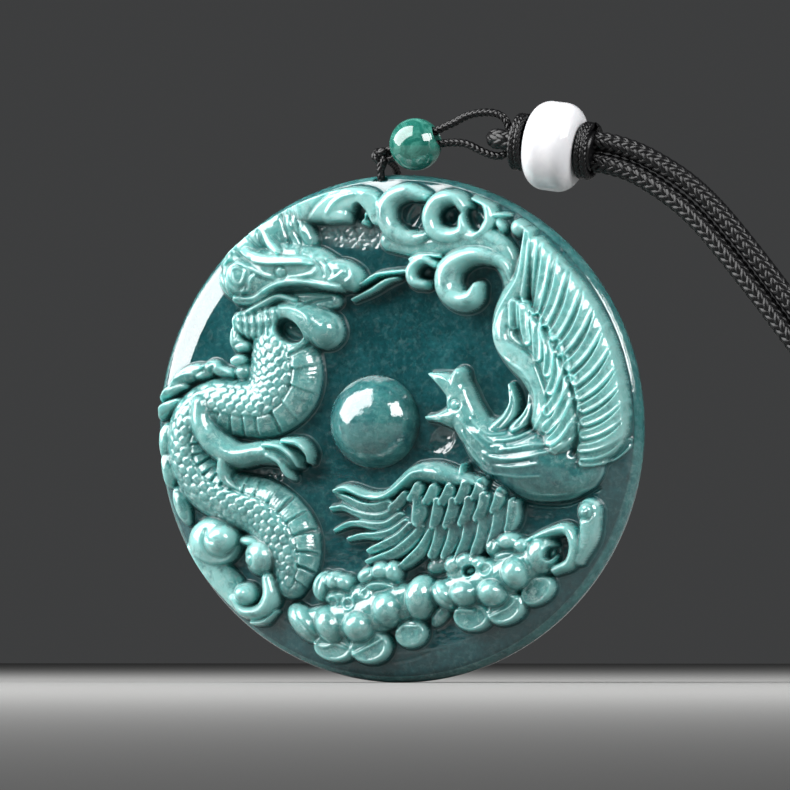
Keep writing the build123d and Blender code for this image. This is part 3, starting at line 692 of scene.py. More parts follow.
    def ring(self, x: float, z: float, radius: float, width: float, depth: float) -> None:
        """Cut a thin ring, or raise one where depth is negative.

        Args:
            x: Its middle's x in hundredths.
            z: Its middle's z in hundredths.
            radius: Its radius in hundredths.
            width: Half its width in millimetres.
            depth: Its depth in millimetres.
        """
        spread = 100 * width / self.disc_radius
        reach = radius + 3 * spread
        cut = self.window(x - reach, x + reach, z - reach, z + reach)
        away = np.hypot(self.x[cut] - x, self.z[cut] - z)
        self.height[cut] -= depth * bell(away, radius, spread)

    def settle(self) -> None:
        """Bring the relief down to the plain face before its edge and take the grid's teeth off."""
        edge = self.edge_share * self.disc_radius
        fade = np.clip((edge - self.radius) / (self.fade_width * self.disc_radius), 0, 1)
        self.height = self.base + (soften(self.height, 1) - self.base) * np.sqrt(fade)

    def carve(self) -> None:
        """Raise, cut and score the whole face from the tables."""
        for name, owner, fullness, rows in RIDGES:
            self.ridge(rows, fullness, owner, SKINS.get(name, Skin.PLAIN), BELLY_SHARE)
        for _, owner, rows in MOUNDS:
            for row in rows:
                self.mound(row, owner)
        for _, owner, rows in FEATHERS:
            for row in rows:
                self.feather(row, owner)
        for _, owner, blades in BLADES:
            for rows in blades:
                self.blade(rows, owner)
        for row in HOLLOWS:
            self.hollow(row)
        for row in CHISELLED:
            self.chisel(row)
        for _, width, depth, lines in SCORES:
            for rows in lines:
                self.score(rows, width, depth)
        for row in RINGS:
            self.ring(*row)
        self.settle()

    def wear_and_painted_light(self) -> Grid:
        """Each cell's tone with its painted light and shade, and its rough ground, which the stone's material
        reads.

        Returns:
            A grid of tone with painted glow and painted crest highlights, groove with painted shade and
            dullness, edge with a painted highlight on sharp ridges, and rough ground.
        """
        raised = np.clip((self.height - self.base) / (self.full_tone * self.relief_height), 0, 1)
        # Tone by height and part: partly the stone's own paleness, partly painted highlight
        tone = np.array([TONES[owner] for owner in Owner])[self.owner] * raised**0.8
        for x, z, length, breadth, turn, change in TINTS:
            cut, share = self.across(x, z, length, breadth, turn)
            tone[cut] += change * np.clip(1 - share**2, 0, 1) ** 2 * np.minimum(1, 3 * raised[cut])
        # Painted glow beside raised forms, as light spread through the stone
        near = haze(raised, self.painted_glow_reach / self.cell)
        # Painted highlight on crests that stand above their neighbourhood, painted shade on flanks below it
        proud = np.clip(self.height - haze(self.height, self.crest_reach / self.cell), -0.7, 0.5)
        tone = tone + self.painted_glow * near**2 * (1 - raised) + self.painted_crest_contrast * proud * raised
        # Painted shade in hollows and grooves, which also dulls the polish there
        wide = soften(self.height, self.wide_passes) - self.height
        fine = soften(self.height, self.fine_passes) - self.height
        groove = np.clip(wide / self.wide_groove + fine / self.fine_groove, 0, 1)
        # Painted highlight along sharp ridges
        edge = np.clip(-fine / self.ridge_highlight_depth - 0.1, 0, 1)
        return np.stack([tone, groove, edge, soften(self.rough, self.fine_passes)], axis=-1)

    def pieces(self) -> list[tuple[Owner, Grid, Grid, Grid, Grid]]:
        """Cut the face into one sheet for each part of the carving, which share their borders' points.

        Returns:
            For each part its owner, points in metres, faces, normals, and tone, painted light and shade and
            rough ground.
        """
        mm = self.disc_radius / 100
        slope_z, slope_x = np.gradient(self.height, self.cell)
        normals = np.stack([-slope_x, -np.ones_like(slope_x), -slope_z], axis=-1)
        normals /= np.linalg.norm(normals, axis=-1, keepdims=True)
        edge = self.edge_share * self.disc_radius
        pull = np.where(self.radius > edge, edge / np.maximum(self.radius, edge), 1.0)
        height = np.where(pull < 1, self.base_height(np.full(pull.shape, edge)), self.height)
        cx, cy, cz = DISC_CENTRE
        metres = np.stack([cx + self.x * mm * pull, cy - height, cz + self.z * mm * pull], axis=-1) * MM
        number = np.arange(self.x.size).reshape(self.x.shape)
        quads, kept, owners = (np.stack([grid[:-1, :-1], grid[:-1, 1:], grid[1:, 1:], grid[1:, :-1]], axis=-1)
                               for grid in (number, self.radius < edge, self.owner))
        inside, whose = kept.any(axis=-1), owners.max(axis=-1)
        wear_and_painted_light = self.wear_and_painted_light().reshape(-1, 4)
        out = []
        for k, owner in enumerate(Owner):
            chosen = quads[inside & (whose == k)]
            used, faces = np.unique(chosen, return_inverse=True)
            out.append((owner, metres.reshape(-1, 3)[used], faces.reshape(chosen.shape),
                        normals.reshape(-1, 3)[used], wear_and_painted_light[used]))
        return out


# The carving's tables. Places and half widths are hundredths of the disc's radius, heights are shares
# of the relief above the field.

# How pale each part's stone is at full height, from the deep field's tone to the palest crests: partly the
# stone's own paleness and partly painted highlight standing in for the many small lights on finely worked
# parts
TONES = {
    Owner.FIELD: 0.6, Owner.CLOUD: 1.2, Owner.DRAGON: 0.68, Owner.PHOENIX: 0.38, Owner.TAIL: 0.98,
    Owner.PEONY: 0.8,
}

# The surfaces of the ridges that are worked, and the share across a scaled form at which its belly starts
SKINS = {"dragon body": Skin.SCALES, "mane locks": Skin.TUFT, "wisp": Skin.QUILL}
BELLY_SHARE = 0.3

# Soft patches where the tone is raised or lowered: x, z, half length, half breadth, turn, change of tone
TINTS = [
    (31, 14, 22, 20, 0, 0.3), (58, -22, 44, 15, -14, -0.22), (30, -14, 16, 14, 0, 0.05),
    (-44, 62, 40, 22, -10, 0.28), (-66, 6, 34, 16, 0, 0.06), (-78, -62, 30, 26, 0, 0.15),
    (-42, -60, 16, 18, 0, -0.25), (-25, 40, 16, 12, 0, -0.2),
]

# Ridges: name, owner, fullness of the section, then rows of x, z, half width, height
RIDGES = [
    ("sky band", Owner.CLOUD, 3, [(0, 74, 5, 0.36), (12, 71, 4.5, 0.38), (25, 72, 5, 0.42),
     (38, 74, 6, 0.45), (46, 68, 6, 0.45), (50, 60, 5, 0.42), (50, 53, 3.5, 0.38)]),
    ("cloud band", Owner.CLOUD, 4, [(-42, 84, 6, 0.46), (-34, 87, 6.5, 0.5), (-25, 88, 7, 0.54),
     (-16, 90, 5.5, 0.56), (-8, 89, 4.5, 0.54), (-5, 82, 3, 0.5)]),
    ("cloud lobe", Owner.CLOUD, 3, [(-25, 85, 5, 0.52), (-19, 83.5, 4, 0.56)]),
    ("cloud hook", Owner.CLOUD, 2, [(-10, 80.5, 2, 0.4), (-12, 83, 1.8, 0.45), (-9.5, 84, 1.5, 0.4)]),
    ("first swirl", Owner.CLOUD, 2, [(14, 91, 2.6, 0.5), (6, 92.5, 4, 0.6), (-0.5, 88.5, 4.4, 0.66),
     (-1, 81, 4.4, 0.66), (3.5, 76, 4.2, 0.62), (10, 74, 4, 0.55), (15, 75, 2.6, 0.5)]),
    ("second swirl", Owner.CLOUD, 2, [(31, 86, 3, 0.52), (27, 90, 3.4, 0.58), (20.5, 89, 3.8, 0.66),
     (17, 83.5, 3.9, 0.68), (18.5, 77.5, 4, 0.66), (24, 75, 4, 0.62), (30, 76.5, 3.6, 0.58),
     (30.5, 82, 2.6, 0.55)]),
    ("third swirl", Owner.CLOUD, 2, [(35, 90, 2, 0.42), (40, 87, 2.6, 0.46), (41, 80, 3, 0.5),
     (36, 75, 3, 0.5), (31, 75, 2.6, 0.5)]),
    ("little ring", Owner.CLOUD, 2, [(19, 64, 2, 0.5), (14, 66, 2.6, 0.55), (9.5, 62.5, 2.8, 0.58),
     (10, 57.5, 2.8, 0.58), (15, 56, 2.2, 0.52)]),
    ("ring link", Owner.CLOUD, 2, [(9, 66, 1.4, 0.5), (14, 67.6, 1.2, 0.5), (21, 67.2, 1.1, 0.48)]),
    ("great curl", Owner.CLOUD, 2, [(51, 57, 2.4, 0.5), (48, 63.5, 3.2, 0.58), (41, 67, 3.8, 0.68),
     (33, 67, 4.4, 0.78), (25.5, 62.5, 5.6, 0.84), (24.5, 55, 5.8, 0.86), (29, 50, 5, 0.86),
     (34.5, 50.5, 4.4, 0.86), (37, 55, 2.6, 0.8)]),
    ("upper whisker", Owner.DRAGON, 2, [(-11, 56.5, 1, 0.55), (-5, 60, 1.3, 0.6), (1, 61, 1.3, 0.58),
     (7, 61.5, 1.3, 0.52)]),
    ("lower whisker", Owner.DRAGON, 2, [(-15, 50.5, 1, 0.5), (-7, 54, 1.4, 0.55), (-1, 57.5, 1.5, 0.55),
     (3.5, 58.7, 1, 0.5)]),
    ("dragon body", Owner.DRAGON, 2, [(-47, 38, 10, 0.6), (-44, 27, 14.5, 0.7), (-44.5, 17, 15.5, 0.74),
     (-51, 9, 12.5, 0.72), (-62, 8.5, 11.5, 0.7), (-73, 9.5, 10.5, 0.68), (-81, 4.5, 10, 0.66),
     (-84, -4, 9, 0.64), (-82, -14, 9.5, 0.62), (-75, -23, 10.5, 0.64), (-63, -28, 11, 0.66),
     (-52, -32, 12, 0.68), (-43, -42, 13, 0.66), (-40, -52, 10.5, 0.6), (-41, -61, 6.5, 0.5)]),
    ("mane", Owner.DRAGON, 3, [(-66, 65, 5, 0.42), (-60, 70, 6.5, 0.52), (-51, 75, 8, 0.58),
     (-41, 78, 8, 0.55), (-36, 74, 6, 0.5)]),
    ("mane locks", Owner.DRAGON, 4, [(-61.5, 42.5, 4.5, 0.48), (-56, 41.5, 7, 0.54), (-49.5, 42.5, 7, 0.58),
     (-44.5, 44.5, 4.5, 0.56)]),
    ("mouth floor", Owner.DRAGON, 4, [(-40, 51, 3, 0.4), (-31, 50, 4, 0.4), (-23, 50, 3, 0.3)]),
    ("long fin", Owner.DRAGON, 2, [(-91, 17.4, 1.2, 0.36), (-87.4, 20, 3.2, 0.44), (-82, 22.4, 3.6, 0.47),
     (-77, 24.4, 1.6, 0.46)]),
    ("wave fin", Owner.DRAGON, 2, [(-79.5, 20.6, 1.4, 0.42), (-76.4, 22.6, 3, 0.46), (-73.2, 24.6, 3, 0.5),
     (-70, 22.8, 2.6, 0.48), (-65.5, 22, 2.2, 0.44)]),
    ("neck fin", Owner.DRAGON, 3, [(-63.6, 41, 0.8, 0.42), (-63.9, 37.6, 2.2, 0.5), (-63, 33.8, 3.2, 0.52),
     (-60, 32.6, 2.4, 0.5)]),
    ("edge fin", Owner.DRAGON, 2, [(-95.4, 12, 1.2, 0.36), (-92.6, 14.6, 2.6, 0.42), (-89, 16.2, 2.2, 0.42),
     (-85, 17, 1.4, 0.42)]),
    ("edge fin", Owner.DRAGON, 3, [(-97, 5.4, 1.8, 0.38), (-94.6, 7.4, 3, 0.44), (-91, 9.6, 2.4, 0.44),
     (-88, 11.4, 1.2, 0.42)]),
    ("skull", Owner.DRAGON, 2, [(-63, 59, 8.5, 0.66), (-54, 61, 11.5, 0.78), (-43, 64, 11, 0.86),
     (-32, 63, 9, 0.86), (-24, 61, 6.5, 0.82)]),
    ("snout", Owner.DRAGON, 3, [(-28, 60.5, 6, 0.84), (-20, 60.5, 6.4, 0.85), (-15.5, 59, 5.6, 0.8)]),
    ("brow", Owner.DRAGON, 2, [(-58, 69.5, 2, 0.78), (-52, 67, 2.6, 0.9), (-45, 66.3, 2.4, 0.94),
     (-37, 66, 2.2, 0.93), (-31, 65, 1.8, 0.88)]),
    ("horn", Owner.DRAGON, 3, [(-52.4, 80.8, 1.2, 0.52), (-50.4, 76.6, 2.2, 0.64), (-47.4, 72.4, 2.5, 0.82),
     (-43.8, 69.4, 1.9, 0.98)]),
    ("upper lip", Owner.DRAGON, 2, [(-63, 51, 2.2, 0.6), (-55, 51, 2.6, 0.7), (-49, 54.5, 2.6, 0.78),
     (-42, 57, 2.4, 0.84), (-34, 57.5, 2.4, 0.88), (-26, 56.5, 2.6, 0.88), (-19, 55.5, 2.4, 0.86)]),
    ("lower lip", Owner.DRAGON, 2, [(-58, 46, 2, 0.55), (-51, 49.5, 2.3, 0.62), (-45, 52, 2, 0.64),
     (-38, 50.5, 1.6, 0.6)]),
    ("jaw", Owner.DRAGON, 2, [(-48, 45, 4.5, 0.58), (-41, 46, 5.5, 0.68), (-33, 42.5, 7.5, 0.78),
     (-26.5, 38.5, 7.8, 0.82)]),
    ("front leg", Owner.DRAGON, 2, [(-77, 10, 5, 0.86), (-76.5, 2, 6, 0.92), (-71, -6, 6, 0.94),
     (-63, -10.5, 5.5, 0.94), (-54, -9.5, 5, 0.9), (-46, -9.5, 5.5, 0.84), (-40, -11, 5.5, 0.76)]),
    ("spur", Owner.DRAGON, 2, [(-67, -12, 4, 0.88), (-67.5, -17, 3.6, 0.84), (-65.5, -21, 2.8, 0.76),
     (-61, -24, 1.3, 0.64)]),
    ("upper toe", Owner.DRAGON, 2, [(-42, -5, 2, 0.9), (-36, -5.8, 2.4, 0.92), (-32.5, -9.5, 2, 0.8),
     (-32.5, -13, 1.4, 0.6)]),
    ("middle toe", Owner.DRAGON, 2, [(-50, -6.5, 2, 0.9), (-43.5, -7, 2.6, 0.96), (-38.5, -11, 2.2, 0.86),
     (-37, -14.5, 1.5, 0.64)]),
    ("lower toe", Owner.DRAGON, 2, [(-48, -10.5, 2.4, 0.9), (-43.5, -13, 2.4, 0.88),
     (-41.5, -17.5, 2, 0.72), (-40, -19.5, 1.2, 0.55)]),
    ("cloud flank", Owner.CLOUD, 3, [(-81, -48, 5, 0.4), (-76, -56, 7.5, 0.42), (-68, -62, 7, 0.36),
     (-62, -70, 5, 0.3)]),
    ("cloud ring", Owner.CLOUD, 2, [(-50, -59, 3.4, 0.6), (-49, -66, 4.2, 0.66), (-53, -71.5, 3.6, 0.62),
     (-60, -72, 2.8, 0.55), (-64.5, -67, 2.2, 0.5)]),
    ("cloud lip", Owner.CLOUD, 2, [(-58, -76.5, 1, 0.34), (-52, -76, 1.5, 0.4), (-47, -72, 1, 0.36)]),
    ("phoenix fan", Owner.TAIL, 3, [(60, 71, 4, 0.46), (65, 60, 8, 0.53), (71, 46, 12.5, 0.57),
     (77, 30, 15.5, 0.59), (82, 14, 15, 0.58), (84, 0, 12.5, 0.54), (81, -9, 7, 0.48)]),
    ("phoenix train", Owner.TAIL, 2, [(57, 77, 2.2, 0.5), (56.5, 68, 3.2, 0.56), (55, 59, 4.2, 0.62),
     (51.5, 51, 6, 0.68), (49, 43, 6.8, 0.74), (49, 35, 6.6, 0.78), (53.5, 28, 6.8, 0.8),
     (60, 21, 6.8, 0.8), (65, 12, 7, 0.82), (66, 2, 8, 0.84)]),
    ("phoenix body", Owner.PHOENIX, 2, [(34, 1, 6.4, 0.82), (37, -2.4, 8, 0.9), (41, -6, 10, 0.93),
     (48.5, -10.5, 12.4, 0.97), (60, -14, 15, 0.94), (71, -16.5, 12.5, 0.74), (78, -16.6, 9, 0.46),
     (82.5, -13.6, 5.8, 0.34), (86.5, -10.4, 3.8, 0.24)]),
    ("phoenix neck", Owner.PHOENIX, 3, [(29.6, 12.5, 6.2, 0.76), (31, 7, 7.2, 0.8), (35.4, -0.5, 7.6, 0.85),
     (41, -6, 8.4, 0.9)]),
    ("first wisp", Owner.PHOENIX, 3, [(45, -1, 3.6, 0.8), (49.6, 3.4, 3.4, 0.72), (51.8, 9, 2.4, 0.66),
     (51.2, 13.4, 1.9, 0.6), (50, 16.4, 1.2, 0.5)]),
    ("second wisp", Owner.PHOENIX, 3, [(53, -1, 3.4, 0.78), (57, 3.4, 3, 0.68), (58.8, 8, 2, 0.62),
     (58.2, 12.4, 1.1, 0.5)]),
    ("phoenix crest", Owner.PHOENIX, 2, [(29.6, 12.5, 6.2, 0.78), (28.6, 16.6, 5.2, 0.78),
     (29.6, 21, 3.1, 0.8)]),
    ("crest flap", Owner.PHOENIX, 3, [(28, 14.6, 5, 0.76), (24.8, 17.5, 4.1, 0.75), (21.4, 19.3, 2.7, 0.72),
     (17.6, 21, 0.9, 0.64)]),
    ("beak", Owner.PHOENIX, 2, [(27.5, 4.4, 5.4, 0.8), (23.2, 4, 3.3, 0.74), (19.6, 3.8, 1.9, 0.66),
     (15.8, 3.9, 1.2, 0.54)]),
    ("wing bed", Owner.PHOENIX, 3, [(-18, -30, 3, 0.34), (-6, -33, 5.5, 0.42), (6, -34, 8.5, 0.5),
     (18, -34, 11, 0.52), (31, -34, 13, 0.54), (42, -31, 12, 0.54)]),
    ("inner fan bed", Owner.TAIL, 3, [(54, 48, 4, 0.62), (58, 40, 6, 0.66), (64, 29, 7.5, 0.7),
     (69, 17, 8.5, 0.74), (72, 4, 8.5, 0.78), (70, -6, 7, 0.8)]),
    ("wing edge", Owner.PHOENIX, 2, [(-22, -24.6, 1.5, 0.6), (-16.5, -23.8, 2.1, 0.68),
     (-8, -26.6, 2.4, 0.74), (0, -26.4, 2.6, 0.8), (7, -21.5, 3.4, 0.86), (13, -18, 4.4, 0.92),
     (20, -18, 5, 0.94), (28, -20, 4.2, 0.9), (37, -21.5, 3, 0.84)]),
    ("wing spike", Owner.PHOENIX, 2, [(31, -19.5, 2.4, 0.8), (31, -14.5, 0.9, 0.66)]),
    ("left peony bed", Owner.PEONY, 3, [(-36, -76, 5, 0.42), (-24, -76, 7.5, 0.55), (-12, -75, 8.5, 0.6),
     (0, -70, 8.5, 0.6), (13, -67, 7, 0.5)]),
    ("right peony bed", Owner.PEONY, 3, [(21, -64, 4.5, 0.42), (32, -63, 7, 0.56), (43, -61, 8, 0.6),
     (53, -55, 8, 0.6), (62, -50, 7, 0.5)]),
    ("curl leaf", Owner.PEONY, 2, [(57, -44.5, 1.6, 0.5), (65, -41.5, 2.4, 0.58), (73, -40, 3, 0.62),
     (76, -46, 2.6, 0.6), (74, -53, 2.6, 0.55), (68, -56, 2.2, 0.5)]),
    ("bud stem", Owner.PEONY, 3, [(82, -35, 4.4, 0.56), (81, -43, 3.8, 0.5), (77, -52, 2.4, 0.42)]),
    ("wisp", Owner.TAIL, 5, [(57, 19, 1.7, 0.45), (55.92, 19.72, 1.5, 0.472), (54.84, 20.44, 1.3, 0.494),
     (53.76, 21.16, 1.1, 0.5), (52.68, 21.88, 0.9, 0.5), (51.6, 22.6, 0.7, 0.5)]),
]

# Tail feathers: name, owner, then rows of root x, z, tip x, z, half width at both, lift in mm, bow
FEATHERS = [
    ("fan", Owner.TAIL, [(60, 78, 57, 50.5, 2.3, 2.1, 0.3, -0.03),
     (65.5, 75.5, 61, 45.5, 2.5, 2.2, 0.3, -0.05), (71.5, 70, 65, 41, 2.7, 2.4, 0.32, -0.08),
     (77, 64, 69, 35.5, 2.9, 2.5, 0.34, -0.1), (82.5, 57, 72, 29.5, 3, 2.5, 0.36, -0.12),
     (87, 49.5, 75.5, 23.5, 3, 2.5, 0.36, -0.13), (91, 42, 78, 17.8, 2.9, 2.4, 0.36, -0.13),
     (94.5, 34, 80, 12.2, 2.8, 2.3, 0.36, -0.13), (97, 25.5, 81, 7, 2.6, 2.2, 0.36, -0.13),
     (98, 17, 81.5, 1.8, 2.4, 2.1, 0.34, -0.13), (98.5, 9.5, 81, -3.4, 2.2, 2, 0.32, -0.13),
     (98.5, 2.5, 79.5, -8.6, 2, 1.9, 0.32, -0.14), (96.5, -6, 80, -14, 1.7, 1.8, 0.4, -0.14)]),
    ("inner fan", Owner.TAIL, [(53, 48, 53, 39.5, 1.9, 1.8, 0.28, 0),
     (57, 47.5, 58.4, 33.5, 2.1, 2.1, 0.3, 0.03), (61.5, 43, 62.8, 27, 2.3, 2.2, 0.3, -0.03),
     (65.5, 38, 67, 21, 2.5, 2.2, 0.3, -0.08), (69.5, 33, 68.5, 14, 2.7, 2.3, 0.3, -0.12),
     (73, 26, 67.5, 6, 2.8, 2.3, 0.3, -0.14), (76, 18, 67, -1, 2.8, 2.2, 0.3, -0.12),
     (77.5, 9, 68.5, -6, 2.6, 2.1, 0.28, -0.1), (77.5, 0, 70, -9, 2.2, 1.9, 0.25, -0.08)]),
]

# Tilted blades, as wing feathers, the high side on the right of the way from the root to the tip:
# name, owner, then each blade's rows of x, z, half width, height
BLADES = [
    ("brow band", Owner.DRAGON, [[(-58.4, 70, 1.6, 0.8), (-54, 67.6, 2.5, 0.86), (-48, 66.4, 2.4, 0.93),
      (-41, 66.2, 2.3, 0.97), (-34, 66, 2, 0.96), (-29.6, 65.2, 1.6, 0.92)]]),
    ("primaries", Owner.PHOENIX, [[(1, -30.5, 2.8, 0.62), (-5, -31.8, 2.8, 0.6), (-11, -30.8, 2.5, 0.56),
      (-16, -28.3, 2, 0.5), (-21, -26.2, 1.3, 0.44)],
     [(4, -33, 2.2, 0.56), (-2, -35.2, 2.1, 0.54), (-8, -35.2, 2, 0.5), (-14, -33.4, 1.7, 0.44),
      (-19, -31.4, 1.5, 0.38), (-24, -31.6, 1.3, 0.32)],
     [(6, -34.8, 2.1, 0.54), (0, -38.2, 2.1, 0.52), (-6, -38.6, 2, 0.48), (-12, -37.6, 1.7, 0.42),
      (-17, -37.8, 1.4, 0.36), (-23, -40.3, 0.9, 0.28)],
     [(8, -37.5, 2.2, 0.52), (2, -41.2, 2.2, 0.5), (-4, -42.4, 2, 0.46), (-11, -42.4, 1.6, 0.4),
      (-17, -43.6, 1.2, 0.3)],
     [(10, -38.8, 2.3, 0.52), (5, -43.2, 2.4, 0.5), (-1, -46, 2.3, 0.48), (-5, -47.4, 2, 0.46),
      (-8, -48.4, 1.5, 0.42)],
     [(14.5, -40, 2.3, 0.52), (9, -45.2, 2.5, 0.5), (3, -49.2, 2.4, 0.48), (-3, -51.2, 2.1, 0.46),
      (-8.5, -52.6, 1.5, 0.42)],
     [(18.5, -41, 2.2, 0.52), (14, -47.6, 2.4, 0.5), (9, -52, 2.2, 0.46), (4.5, -55, 1.5, 0.4)]]),
    ("secondaries", Owner.PHOENIX, [[(22.5, -38.5, 2.8, 0.54), (21.4, -44.5, 2.9, 0.52),
      (18.4, -50, 2.2, 0.48)],
     [(28.5, -38.5, 2.9, 0.54), (27, -44.5, 3, 0.52), (23.8, -50.4, 2.3, 0.48)],
     [(34.5, -38, 3, 0.54), (33, -44.5, 3.1, 0.52), (29.6, -50.4, 2.3, 0.48)],
     [(40.5, -36.5, 3, 0.54), (39.2, -43, 3.1, 0.52), (36, -49.2, 2.3, 0.48)],
     [(46.5, -33.5, 2.9, 0.54), (45.4, -40, 3, 0.52), (42.6, -46, 2.2, 0.48)],
     [(52, -29.5, 2.5, 0.52), (51.4, -35.4, 2.6, 0.5), (49.4, -40.4, 1.8, 0.44)]]),
    ("lower coverts", Owner.PHOENIX, [[(8.3, -26.5, 2.16, 0.72), (5.8, -29.6, 2.52, 0.7),
      (2.6, -31.6, 1.8, 0.66)],
     [(14.3, -28.5, 3.06, 0.72), (14.4, -33, 3.78, 0.72), (13.4, -36.6, 3.06, 0.68)],
     [(22.3, -29.5, 2.7, 0.72), (21.6, -34, 2.97, 0.7), (20, -38.4, 2.34, 0.66)],
     [(28.8, -29.5, 2.79, 0.72), (27.6, -34, 2.97, 0.7), (25.4, -38.4, 2.34, 0.66)],
     [(35.3, -29, 2.79, 0.72), (34, -33.4, 2.97, 0.7), (31.6, -37.6, 2.34, 0.66)],
     [(41.3, -27.5, 2.7, 0.72), (40.2, -31.8, 2.88, 0.7), (37.8, -35.8, 2.25, 0.66)],
     [(47.3, -25.5, 2.52, 0.7), (46.4, -29.4, 2.61, 0.68), (44.4, -32.8, 1.98, 0.64)]]),
    ("upper coverts", Owner.PHOENIX, [[(14.3, -23.2, 2.34, 0.84), (13, -26, 2.61, 0.82),
      (11, -28, 1.98, 0.78)],
     [(20.8, -24, 2.52, 0.84), (19.6, -26.8, 2.79, 0.82), (17.6, -29, 2.16, 0.78)],
     [(27.4, -24, 2.61, 0.84), (26.2, -26.9, 2.88, 0.82), (24, -29.4, 2.25, 0.78)],
     [(34, -23, 2.61, 0.84), (32.8, -26.2, 2.88, 0.82), (30.8, -28.8, 2.25, 0.78)],
     [(40.2, -21.6, 2.43, 0.82), (39.2, -24.8, 2.7, 0.8), (37.2, -27.6, 2.07, 0.76)]]),
]

# Mounds: name, owner, then rows of x, z, half length, half breadth, turn in degrees, height, fullness,
# and a lip's height in mm
MOUNDS = [
    ("fins", Owner.DRAGON, [(-60.6, 22.6, 4.4, 4, 0, 0.5, 2), (-62.4, 27, 3.8, 2.6, 8, 0.58, 4, 0.16),
     (-93.6, -4, 7.6, 3.6, 80, 0.42, 2, 0.16), (-92.5, -16, 7.6, 3.8, 100, 0.42, 2, 0.16),
     (-87, -30, 8.6, 3.4, 110, 0.36, 2, 0.16)]),
    ("mane lobes", Owner.DRAGON, [(-64.5, 71, 7.4, 4.8, 48, 0.52, 2), (-57.5, 76, 6.6, 4.6, 56, 0.54, 2),
     (-46, 81, 6.8, 5, 44, 0.56, 2), (-40, 80, 5, 6.4, 12, 0.6, 2)]),
    ("jaw swirl", Owner.DRAGON, [(-62, 59.5, 8.4, 6.4, 75, 0.78, 3)]),
    ("clouds", Owner.CLOUD, [(-73, -44.5, 11.5, 10.5, 0, 0.72, 2), (-69, -43.6, 6.8, 6.4, 0, 0.86, 3),
     (-53, -50.5, 7.4, 7.8, 0, 0.86, 2), (-57, -44.5, 6, 2.6, -8, 0.66, 2),
     (-59.5, -65, 4.9, 4.9, 0, 0.86, 2)]),
    ("sky beads", Owner.CLOUD, [(53, 78, 4, 4, 0, 0.48, 2), (45.5, 79, 3.6, 1.8, 120, 0.46, 2),
     (44.5, 83, 4.4, 1.5, 5, 0.44, 2)]),
    ("left peony", Owner.PEONY, [(-13, -67, 13, 6, 8, 0.5, 3), (-22, -64, 9, 5.6, -8, 0.52, 4),
     (-3.6, -60, 8.6, 5.2, 5, 0.54, 4), (-27.6, -62, 6.4, 4.2, 78, 0.64, 3),
     (-22.8, -60, 4.8, 4.2, 12, 0.68, 3), (-18.2, -60.8, 4.4, 3.8, -24, 0.65, 3),
     (-8.6, -58, 5, 3.8, 16, 0.64, 3), (-3, -56.2, 5.2, 4.2, 10, 0.69, 3),
     (1.8, -56.4, 3.8, 4.8, 0, 0.65, 3), (-23, -86, 9.4, 6.2, -5, 0.42, 4, 0.32),
     (-8, -86, 9.2, 7, 8, 0.46, 4, 0.34), (20.5, -73.5, 6, 3.2, 48, 0.3, 2),
     (8.6, -80.8, 7.2, 6, 12, 0.44, 4, 0.22), (-35.2, -76.6, 10, 5.6, -48, 0.66, 2),
     (-24.6, -77.4, 8.6, 6.4, -62, 0.8, 2), (12.6, -66.6, 9.4, 7.2, 78, 0.82, 2),
     (-0.3, -71, 7.4, 8, 0, 0.9, 2), (-12, -77.6, 7.8, 7.4, 0, 0.94, 2)]),
    ("right peony", Owner.PEONY, [(38, -56.5, 12.5, 5.6, 10, 0.5, 3), (19.5, -53.5, 5.6, 3.6, 24, 0.3, 2),
     (31.4, -55.8, 9, 5, 12, 0.5, 4), (49, -48.6, 9, 4.8, 0, 0.53, 4), (27, -54, 4.8, 4.6, 0, 0.6, 3),
     (32, -52.6, 5, 4.2, 0, 0.64, 3), (37, -53.4, 4.4, 3.6, 0, 0.58, 3), (44, -47, 4.8, 4.2, 20, 0.6, 3),
     (49.4, -44.8, 5.4, 4.2, 0, 0.67, 3), (54.8, -46.6, 4.2, 3.6, -10, 0.62, 3),
     (34, -74, 8.6, 6.4, 0, 0.44, 4, 0.32), (47.8, -71.2, 8.8, 6.2, 25, 0.46, 4, 0.34),
     (60.4, -64, 8, 5.4, 35, 0.4, 4, 0.28), (61.8, -50, 9, 7.4, 62, 0.72, 2),
     (22.6, -65.6, 7.2, 5.2, -46, 0.7, 2), (31.6, -65, 7.8, 6, 0, 0.82, 2),
     (52.4, -57, 6.8, 7.4, 0, 0.92, 2), (43.2, -64.5, 7.4, 6.6, 0, 0.94, 2)]),
    ("bud", Owner.PEONY, [(81.5, -33, 5, 5.4, 0, 0.62, 2), (81, -33.5, 3, 3, 0, 0.7, 2)]),
]

# Hollows: x, z, half length, half breadth, turn, depth below the field in quarters of the relief,
# negative where the floor stays above the field
HOLLOWS = [
    (-17, 76, 13.5, 5.2, -5, 0.12), (-12.5, 84.5, 2.4, 4, 0, 0.4), (9.5, 83, 3.4, 6, -25, 0.42),
    (24, 83, 2.9, 3.4, 0, 0.46), (34.5, 81.5, 3, 5.4, 25, 0.4), (14.8, 60.8, 2.8, 3, 0, 0.46),
    (-41, 38.4, 6.4, 4.4, -34, -0.5), (70.5, -48.5, 3.4, 2.2, -20, -0.4), (20.5, -5, 5, 6, -35, 0.3),
    (66.5, -49.4, 3, 2, 60, -1), (33.5, -56.2, 2.8, 2, 25, -1.75),
]

# Rough ground in the pockets: x, z, half length, half breadth, turn, depth of the marks in mm, paleness
CHISELLED = [
    (-17, 76, 16, 6, -6, 0.05, 0.7), (20.5, -6, 6.4, 7, -35, 0.022, 0.1), (-52, -18.5, 9, 4, -6, 0.04, 0.1),
    (-30, 49.5, 11, 3, -10, 0.05, 0.3), (19, -54.5, 7, 4, 15, 0.03, 0.5),
    (20.5, -73.5, 7, 4.6, 48, 0.04, 0.4),
]

